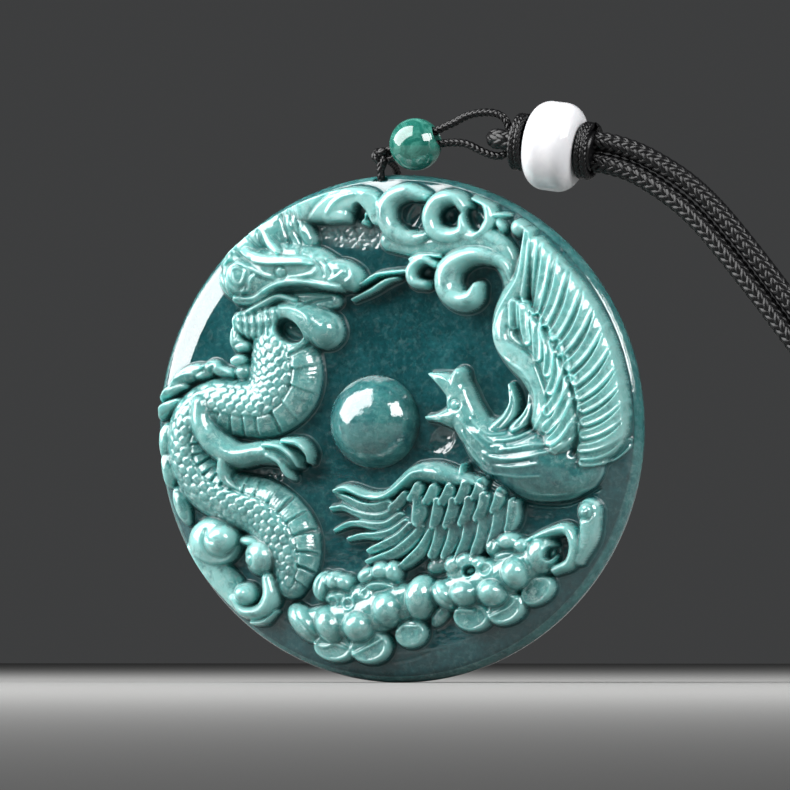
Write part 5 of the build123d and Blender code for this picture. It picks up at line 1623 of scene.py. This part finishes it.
@dataclass(frozen=True)
class Layout:
    """Sizes of the pieces between the disc and the neck cord, and the places that follow from them."""

    disc_radius: float = 29.0
    bore_offset: float = -1.9
    bore_inset: float = 0.8
    bore_rise: float = 0.3
    bore_drop: float = 5.6
    back_depth: float = 4.0
    bore_diameter: float = 1.7
    thread: float = 0.9
    knot_diameter: float = 2.4
    knot_gap: float = 0.7
    bead_diameter: float = 6.0
    bead_lean: float = 20.0
    bead_bore: float = 2.3
    lane_offset: float = 0.5
    seat_gap: float = 0.15
    hitch_reach: float = 8.5
    exit_run: float = 1.4
    white_diameter: float = 10.2
    white_width: float = 5.9
    white_lip: float = 0.35
    white_rise: float = 2.9
    core_diameter: float = 4.7
    core_clearance: float = 0.2
    winding_diameter: float = 6.6
    winding_width: float = 1.7
    group_tilt: float = 8.0
    strand: float = 2.2
    strand_spacing: float = 2.4
    eye_radius: float = 1.65
    first_run: float = 3.4

    @property
    def knot(self) -> Vector:
        """The knot's middle, as x, height and z from the disc's centre."""
        return Vector((self.bore_offset, 0, self.disc_radius + self.knot_gap + self.knot_diameter / 2))

    @property
    def lean(self) -> Vector:
        """The jade bead's axis."""
        turn = math.radians(self.bead_lean)
        return Vector((math.cos(turn), 0, math.sin(turn)))

    @property
    def lean_side(self) -> Vector:
        """Across the jade bead's axis, upwards."""
        return Vector((-self.lean.z, 0, self.lean.x))

    @property
    def bead(self) -> Vector:
        """The jade bead's middle."""
        return self.knot + self.lean * (self.knot_diameter / 2 + self.seat_gap + self.bead_diameter / 2)

    @property
    def axis(self) -> Vector:
        """The white bead's axis, from the eye to the strands."""
        turn = math.radians(self.group_tilt)
        return Vector((math.cos(turn), 0, -math.sin(turn)))

    @property
    def axis_side(self) -> Vector:
        """Across the white bead's axis, upwards."""
        return Vector((-self.axis.z, 0, self.axis.x))

    @property
    def core_half(self) -> float:
        """Half the length of the bound core."""
        return self.white_width / 2 + self.seat_gap + self.winding_width

    @property
    def eye_back(self) -> float:
        """Distance from the eye's middle to the core's face."""
        return self.thread / 2 + self.seat_gap

    @property
    def white(self) -> Vector:
        """The white bead's middle.

        Returns:
            Its place in layout millimetres.
        """
        hitch_x = self.bead.x + self.bead_diameter / 2 * self.lean.x + self.hitch_reach
        middle_x = hitch_x + (self.core_half + self.eye_back) * self.axis.x
        return Vector((middle_x, 0, self.disc_radius + self.white_rise))

    @property
    def eye(self) -> Vector:
        """The middle of the braided eye."""
        return self.white - self.axis * (self.core_half + self.eye_back)


def metres(points: list[Vector]) -> list[tuple[float, float, float]]:
    """Turn layout points into metres in the part's frame."""
    return [place(p.x, p.y, p.z) for p in points]


def turned(name: str, centre: Vector, axis: Vector, rows: list[tuple[float, float]], sides: int,
           closed: bool) -> bpy.types.Object:
    """Turn a profile about an axis.

    Args:
        name: The object's name.
        centre: The middle of the axis in the layout.
        axis: The axis's direction.
        rows: Radius and distance along the axis.
        sides: How many sides the turned piece has.
        closed: Whether the profile's last row joins its first.

    Returns:
        The turned piece.
    """
    across = Vector((0, 1, 0)).cross(axis).normalized()
    other = axis.cross(across)
    points = []
    for radius, far in rows:
        for k in range(sides):
            turn = 2 * math.pi * k / sides
            out = across * (radius * math.cos(turn)) + other * (radius * math.sin(turn))
            points.append(centre + axis * far + out)
    number = np.arange(len(points)).reshape(len(rows), sides)
    if closed:
        number = np.vstack([number, number[:1]])
    return mesh_object(name, np.array(metres(points)), ring_faces(number))


@dataclass
class HangingGroup:
    """The thin cord that carries the disc, its knot, and the jade bead that it runs through."""

    layout: Layout
    back_runs: tuple[tuple[float, float], ...] = ((-5, 1.1), (43, 1.1), (90, 2.0), (95, 3.6), (112, 2.4))
    hitch_route: tuple[tuple[float, float], ...] = (
        (-4.9, 3.15), (-1.4, 3.3), (0.0, 1.7), (0.0, -1.5), (-2.1, -1.95))
    knot_height: float = 1.3
    knot_squash: float = 0.8
    knot_depth: float = 1.8
    knot_steps: int = 180
    bead_rings: int = 72
    bead_sides: int = 96
    mouth: float = 0.12
    mouth_lip: float = 0.03
    mouth_depth: float = 0.15
    thread_yarns: int = 4
    thread_lead: float = 2.6
    thread_sample: float = 0.11

    def thread_braid(self) -> Braid:
        """How the thin cord is braided."""
        return Braid(self.layout.thread, self.thread_yarns, self.thread_lead, sample=self.thread_sample)

    def hanger_route(self) -> list[Vector]:
        """The thin cord's chosen points from the knot through the bore and up behind the rim.

        Returns:
            Places in layout millimetres.
        """
        lay = self.layout
        inlet = Vector((lay.bore_offset, lay.bore_rise, lay.disc_radius - lay.bore_inset))
        outlet = Vector((lay.bore_offset, -lay.back_depth, lay.disc_radius - lay.bore_inset - lay.bore_drop))
        way = (outlet - inlet).normalized()
        start, end = inlet - way * lay.bore_diameter * 2, outlet + way * lay.bore_diameter
        first = start + way * (lay.bore_diameter * 2 - lay.thread)
        clear = lay.knot_diameter / 2 - 0.5 * lay.thread
        points = [lay.knot + (first - lay.knot).normalized() * clear, first]
        points.append(end - way * (lay.bore_diameter - lay.thread))
        for heading, run in self.back_runs:
            turn = math.radians(heading)
            points.append(points[-1] + Vector((0, -math.cos(turn), math.sin(turn))) * run)
        points.append(lay.knot + (points[-1] - lay.knot).normalized() * clear)
        return points

    def hitch_points(self) -> list[Vector]:
        """The loop's chosen points: through the bead, round through the eye and back.

        Returns:
            Places in layout millimetres.
        """
        lay = self.layout
        start = lay.knot_diameter / 2 - 0.4 * lay.thread
        offset = lay.lean_side * lay.lane_offset
        near = lay.knot + lay.lean * math.sqrt(max(start**2 - lay.lane_offset**2, 0.01))
        far = lay.bead + lay.lean * (lay.bead_diameter / 2 + lay.exit_run)
        around = [lay.eye + Vector((x, 0, z)) for x, z in self.hitch_route]
        return [near + offset, far + offset] + around + [far - offset, near - offset]

    def knot_path(self) -> Grid:
        """An overhand knot's line, drawn tight and a little taller than wide.

        Returns:
            Rows of x, y, z in metres.
        """
        turns = np.linspace(0, 2 * math.pi, self.knot_steps)
        wide = (self.layout.knot_diameter - self.layout.thread) / 2 / 3
        tall = self.knot_height / 3 * self.knot_squash
        x = wide * (np.sin(turns) + 2 * np.sin(2 * turns))
        z = tall * (np.cos(turns) - 2 * np.cos(2 * turns))
        deep = -wide * self.knot_depth * np.sin(3 * turns)
        knot = self.layout.knot
        return np.array([place(knot.x + a, knot.y + b, knot.z + c) for a, b, c in zip(x, deep, z)])

    def bead(self) -> bpy.types.Object:
        """The jade bead: a ball with a drilled way and a small round-over at its mouths.

        Returns:
            The bead.
        """
        lay = self.layout
        radius, bore = lay.bead_diameter / 2, lay.bead_bore / 2
        first = math.asin((bore + self.mouth) / radius)
        rows = []
        for k in range(self.bead_rings + 1):
            turn = first + (math.pi - 2 * first) * k / self.bead_rings
            rows.append((radius * math.sin(turn), -radius * math.cos(turn)))
        reach, lip, deep = -rows[0][1], self.mouth_lip, self.mouth_depth
        rows += [(bore + lip, reach - lip), (bore, reach - deep)]
        rows += [(bore, deep - reach), (bore + lip, lip - reach)]
        return turned("jade_bead_ball", lay.bead, lay.lean, rows, self.bead_sides, True)

    def build(self, cord: bpy.types.Material, stone: bpy.types.Material) -> None:
        """Braid the cords, tie the knot and turn the bead.

        Args:
            cord: The thin cord's material.
            stone: The bead's material.
        """
        braid = self.thread_braid()
        line = route_points("hanger_line", metres(self.hanger_route()))
        hanger = braid.build("thin_cord_through_disc", line)
        finish_piece(hanger, cord, ("hanger_cord",))
        hitch = braid.build("thin_cord_loop", route_points("hitch_line", metres(self.hitch_points())))
        finish_piece(hitch, cord, ("hitch_loop",))
        finish_piece(braid.build("overhand_knot", self.knot_path()), cord, ("hanger_knot",))
        finish_piece(self.bead(), stone, ("jade_bead",))


@dataclass
class CordHead:
    """The braided cord's bound end: the eye, the core, the windings and the white bead between them."""

    layout: Layout
    winding_turns: float = 2.0
    winding_steps: int = 48
    eye_steps: int = 24
    eye_tuck: float = 0.6
    core_round: float = 0.5
    core_tip: float = 0.05
    core_steps: int = 8
    core_sides: int = 48
    rings: int = 48
    bead_sides: int = 128
    bore_chamfer: float = 0.15

    def eye_path(self) -> Grid:
        """The doubled end's tight bend, from the core's face round and back.

        Returns:
            Rows of x, y, z in metres.
        """
        lay = self.layout
        depth_axis = Vector((0, 1, 0))
        start = lay.eye + lay.axis * (lay.eye_back + self.eye_tuck)
        rows = [start + depth_axis * lay.eye_radius]
        for k in range(self.eye_steps + 1):
            turn = math.pi / 2 + math.pi * k / self.eye_steps
            rows.append(lay.eye + lay.axis * (lay.eye_radius * math.cos(turn))
                        + depth_axis * (lay.eye_radius * math.sin(turn)))
        rows.append(start - depth_axis * lay.eye_radius)
        return np.array(metres(rows))

    def winding_path(self, side: int) -> Grid:
        """Close turns of thin cord round the core beside the white bead.

        Args:
            side: -1 for the left winding, 1 for the right.

        Returns:
            Rows of x, y, z in metres.
        """
        lay = self.layout
        middle = lay.white + lay.axis * side * (lay.white_width / 2 + lay.seat_gap + lay.winding_width / 2)
        radius = (lay.winding_diameter - lay.thread) / 2
        pitch = lay.winding_width - lay.thread
        rows, count = [], self.winding_steps
        for k in range(int(self.winding_turns * count) + 1):
            turn = 2 * math.pi * k / count
            far = pitch * (min(max(k / count - 0.5, 0), 1) - 0.5)
            rows.append(middle + lay.axis * far + lay.axis_side * (radius * math.cos(turn))
                        + Vector((0, 1, 0)) * (radius * math.sin(turn)))
        return np.array(metres(rows))

    def core(self) -> bpy.types.Object:
        """The bound core from face to face, with rounded ends.

        Returns:
            The core.
        """
        lay = self.layout
        radius, half = lay.core_diameter / 2, lay.core_half
        rows, bend = [(self.core_tip, -half)], self.core_round
        for k in range(self.core_steps + 1):
            turn = math.pi / 2 * k / self.core_steps
            rows.append((radius - bend + bend * math.sin(turn), -half + bend - bend * math.cos(turn)))
        rows += [(r, -far) for r, far in rows[::-1]]
        return turned("bound_core", lay.white, lay.axis, rows, self.core_sides, False)

    def white_bead(self) -> bpy.types.Object:
        """The white bead: a drum with flat ends, well rounded rims and a bore.

        Returns:
            The bead.
        """
        lay = self.layout
        bore = lay.core_diameter / 2 + lay.core_clearance
        half, radius = lay.white_width / 2, lay.white_diameter / 2
        edge = radius - bore - lay.white_lip
        rows = []
        for end in (-1, 1):
            for k in range(self.rings + 1):
                turn = math.pi / 2 * (1 - k / self.rings if end < 0 else k / self.rings)
                far = half - edge + edge * math.sin(turn)
                rows.append((radius - edge + edge * math.cos(turn), end * far))
        cut = self.bore_chamfer
        rows += [(bore + cut, half), (bore, half - cut), (bore, cut - half), (bore + cut, -half)]
        return turned("white_jade_drum", lay.white, lay.axis, rows, self.bead_sides, True)

    def build(self, braid_finish: bpy.types.Material, thread_finish: bpy.types.Material,
              stone: bpy.types.Material, braid: Braid, thread: Braid) -> None:
        """Braid the eye, wind both windings and turn the core and the bead.

        Args:
            braid_finish: The braided cord's material.
            thread_finish: The thin cord's material.
            stone: The bead's material.
            braid: How the eye is braided.
            thread: How the windings' cord is braided.
        """
        finish_piece(braid.build("braided_eye_bend", self.eye_path()), braid_finish, ("braided_eye",))
        finish_piece(self.core(), thread_finish, ("cord_core",))
        for side, node in ((-1, "left_winding"), (1, "right_winding")):
            finish_piece(thread.build(f"{node}_turns", self.winding_path(side)), thread_finish, (node,))
        finish_piece(self.white_bead(), stone, ("white_bead",))


# The neck cord's chosen points (x, z) from the disc's centre, as in the part
INNER_ROUTE = [
    (33, 28.9), (37.2, 25.5), (41.9, 20), (47.2, 13.2), (54, 4.6), (61, -3), (68.5, -5), (75, -0.5),
    (77.5, 10), (75, 25.5), (68, 41), (58, 54), (48.5, 66), (42, 80), (42.5, 95), (51, 109), (64, 120),
    (80, 126.5),
]
OUTER_ROUTE = [
    (31.6, 26.8), (35.5, 23.7), (39.6, 18.9), (44.9, 12.3), (52.3, 2.4), (61, -9.4), (72, -19), (86, -24.5),
    (100, -25.2), (114, -20), (125, -9.5), (132, 4), (135.2, 20), (136, 38), (135.6, 56), (134, 74),
    (129.5, 92), (121.5, 108), (110, 120), (96, 126.5),
]


@dataclass
class NeckCord:
    """The braided neck cord, one loop from the core's face up to the neck and back."""

    layout: Layout
    length: float = 520.0
    yarns: int = 8
    lead: float = 8.4

    def strand(self, side: int, route: Rows) -> list[Vector]:
        """One strand's chosen points from the core's face.

        Args:
            side: -1 for one strand, 1 for the other.
            route: Its further points x, z from the disc's centre.

        Returns:
            Places in layout millimetres.
        """
        lay = self.layout
        start = lay.white + lay.axis * lay.core_half + lay.axis_side * side * lay.strand_spacing / 2
        return [start, start + lay.axis * lay.first_run] + [Vector((x, 0, z)) for x, z in route]

    def braid(self) -> Braid:
        """How the cord is braided."""
        return Braid(self.layout.strand, self.yarns, self.lead)

    def build(self, finish: bpy.types.Material) -> None:
        """Args:
            finish: The braided cord's material.
        """
        route = metres(self.strand(1, INNER_ROUTE) + self.strand(-1, OUTER_ROUTE)[::-1])
        path = route_points("neck_line", route)
        cord = self.braid().build("braided_neck_cord", path)
        finish_piece(cord, finish, ("neck_cord",))


@dataclass(frozen=True)
class SoftBox:
    """A softbox: its direction from the disc and its two half sides, as seen by the camera, and its light.

    Directions are x to the right, y up and z towards the camera. Sides are shares of the distance.
    """

    name: str
    toward: tuple[float, float, float]
    across: tuple[float, float, float]
    width: float
    length: float
    distance: float
    watts: float


@dataclass
class Studio:
    """The camera, the softboxes, the soft surroundings and the pale floor."""

    azimuth: float = 18.2
    elevation: float = -1.2
    distance: float = 1200.0
    frame_width: float = 90.1
    centre_px: tuple[float, float] = (397.4, 428.4)
    image_px: float = 790.0
    sensor_width: float = 36.0
    clip_start: float = 10.0
    air: str = "E6E8EA"
    air_strength: float = 0.06
    floor: str = "686867"
    floor_roughness: float = 0.85
    floor_z: float = -154.4
    floor_reach: float = 1500.0
    boxes: tuple[SoftBox, ...] = (
        SoftBox("left_softbox", (-0.776, 0.642, 0.204), (0.70, 0.59, 0.40), 1.62, 1.07, 500.0, 14.0),
        SoftBox("right_softbox", (0.738, 0.50, 0.454), (0.56, -0.10, -0.82), 0.78, 0.52, 500.0, 4.4),
    )

    def axes(self) -> tuple[Vector, Vector, Vector]:
        """The camera's right, up and backward directions.

        Returns:
            Three unit vectors.
        """
        turn, rise = math.radians(self.azimuth), math.radians(self.elevation)
        back = Vector((math.sin(turn) * math.cos(rise), -math.cos(turn) * math.cos(rise), math.sin(rise)))
        right = Vector((math.cos(turn), math.sin(turn), 0))
        return right, back.cross(right), back

    def camera(self) -> None:
        """Set the camera at the photograph's angle, framed as it is by a small shift."""
        *_, back = self.axes()
        data = bpy.data.cameras.new("studio_camera")
        made = add_object("studio_camera", data)
        made.location = Vector(place(0, 0, 0)) + back * self.distance * MM
        made.rotation_euler = back.to_track_quat("Z", "Y").to_euler()
        data.sensor_width = self.sensor_width
        data.lens = data.sensor_width * self.distance / self.frame_width
        half = self.image_px / 2
        data.shift_x = (half - self.centre_px[0]) / self.image_px
        data.shift_y = (self.centre_px[1] - half) / self.image_px
        data.clip_start = self.clip_start * MM
        bpy.context.scene.camera = made

    def lights(self) -> None:
        """Hang the softboxes where the pearl mirrors them."""
        right, up, back = self.axes()
        for box in self.boxes:
            toward = (right * box.toward[0] + up * box.toward[1] + back * box.toward[2]).normalized()
            across = right * box.across[0] + up * box.across[1] + back * box.across[2]
            across = (across - toward * across.dot(toward)).normalized()
            data = bpy.data.lights.new(box.name, "AREA")
            data.shape = "RECTANGLE"
            data.size = box.width * box.distance * MM
            data.size_y = box.length * box.distance * MM
            data.energy = box.watts
            made = add_object(box.name, data)
            where = Vector(place(0, 0, 0)) + toward * box.distance * MM
            made.matrix_world = matrix_from(across, toward.cross(across), toward, where)

    def surroundings(self) -> None:
        """A dim even world and a pale floor under the disc."""
        world = bpy.data.worlds.new("studio_air")
        world.use_nodes = True
        background = world.node_tree.nodes["Background"].inputs
        background["Color"].default_value = linear(self.air)
        background["Strength"].default_value = self.air_strength
        bpy.context.scene.world = world
        paper, tree, _ = new_material("matt_pale_paper")
        close_material(tree, {"Base Color": linear(self.floor), "Roughness": self.floor_roughness})
        low, high, z = -self.floor_reach * MM, self.floor_reach * MM, self.floor_z * MM
        points = np.array([(low, low, z), (high, low, z), (high, high, z), (low, high, z)])
        floor = mesh_object("studio_floor", points, np.array([[0, 1, 2, 3]]))
        floor.data.materials.append(paper)

    def build(self) -> None:
        """Set up the camera, lights and surroundings."""
        bpy.context.scene.view_settings.view_transform = "Standard"
        self.camera()
        self.lights()
        self.surroundings()


def matrix_from(x: Vector, y: Vector, z: Vector, location: Vector) -> Matrix:
    """An object's matrix from its three axes and its place."""
    rows = [(x[k], y[k], z[k], location[k]) for k in range(3)]
    return Matrix([*rows, (0, 0, 0, 1)])


def main() -> None:
    """Build the studio and every piece."""
    logging.basicConfig(level=logging.INFO, format="%(name)s: %(message)s")
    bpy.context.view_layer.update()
    Studio().build()
    layout = Layout()
    braid_finish = BraidedPolyester("herringbone_braided_polyester").build()
    thread_finish = BraidedPolyester("fine_braided_polyester_thread", roughness=0.3).build()
    neck = NeckCord(layout)
    neck.build(braid_finish)
    green = TurnedStone("deep_green_jade", "155046", "458275", 2.2, 0.1).build()
    white = TurnedStone("white_mutton_fat_jade", "B9B9BC", "C2C2C3", 3.0, 0.4).build()
    group = HangingGroup(layout)
    group.build(thread_finish, green)
    CordHead(layout).build(braid_finish, thread_finish, white, neck.braid(), group.thread_braid())
    jade = CarvedJade("polished_blue_green_jadeite").build()
    JadeDisc(Carving(grid_step=0.105)).build(jade)


if __name__ == "__main__":
    main()
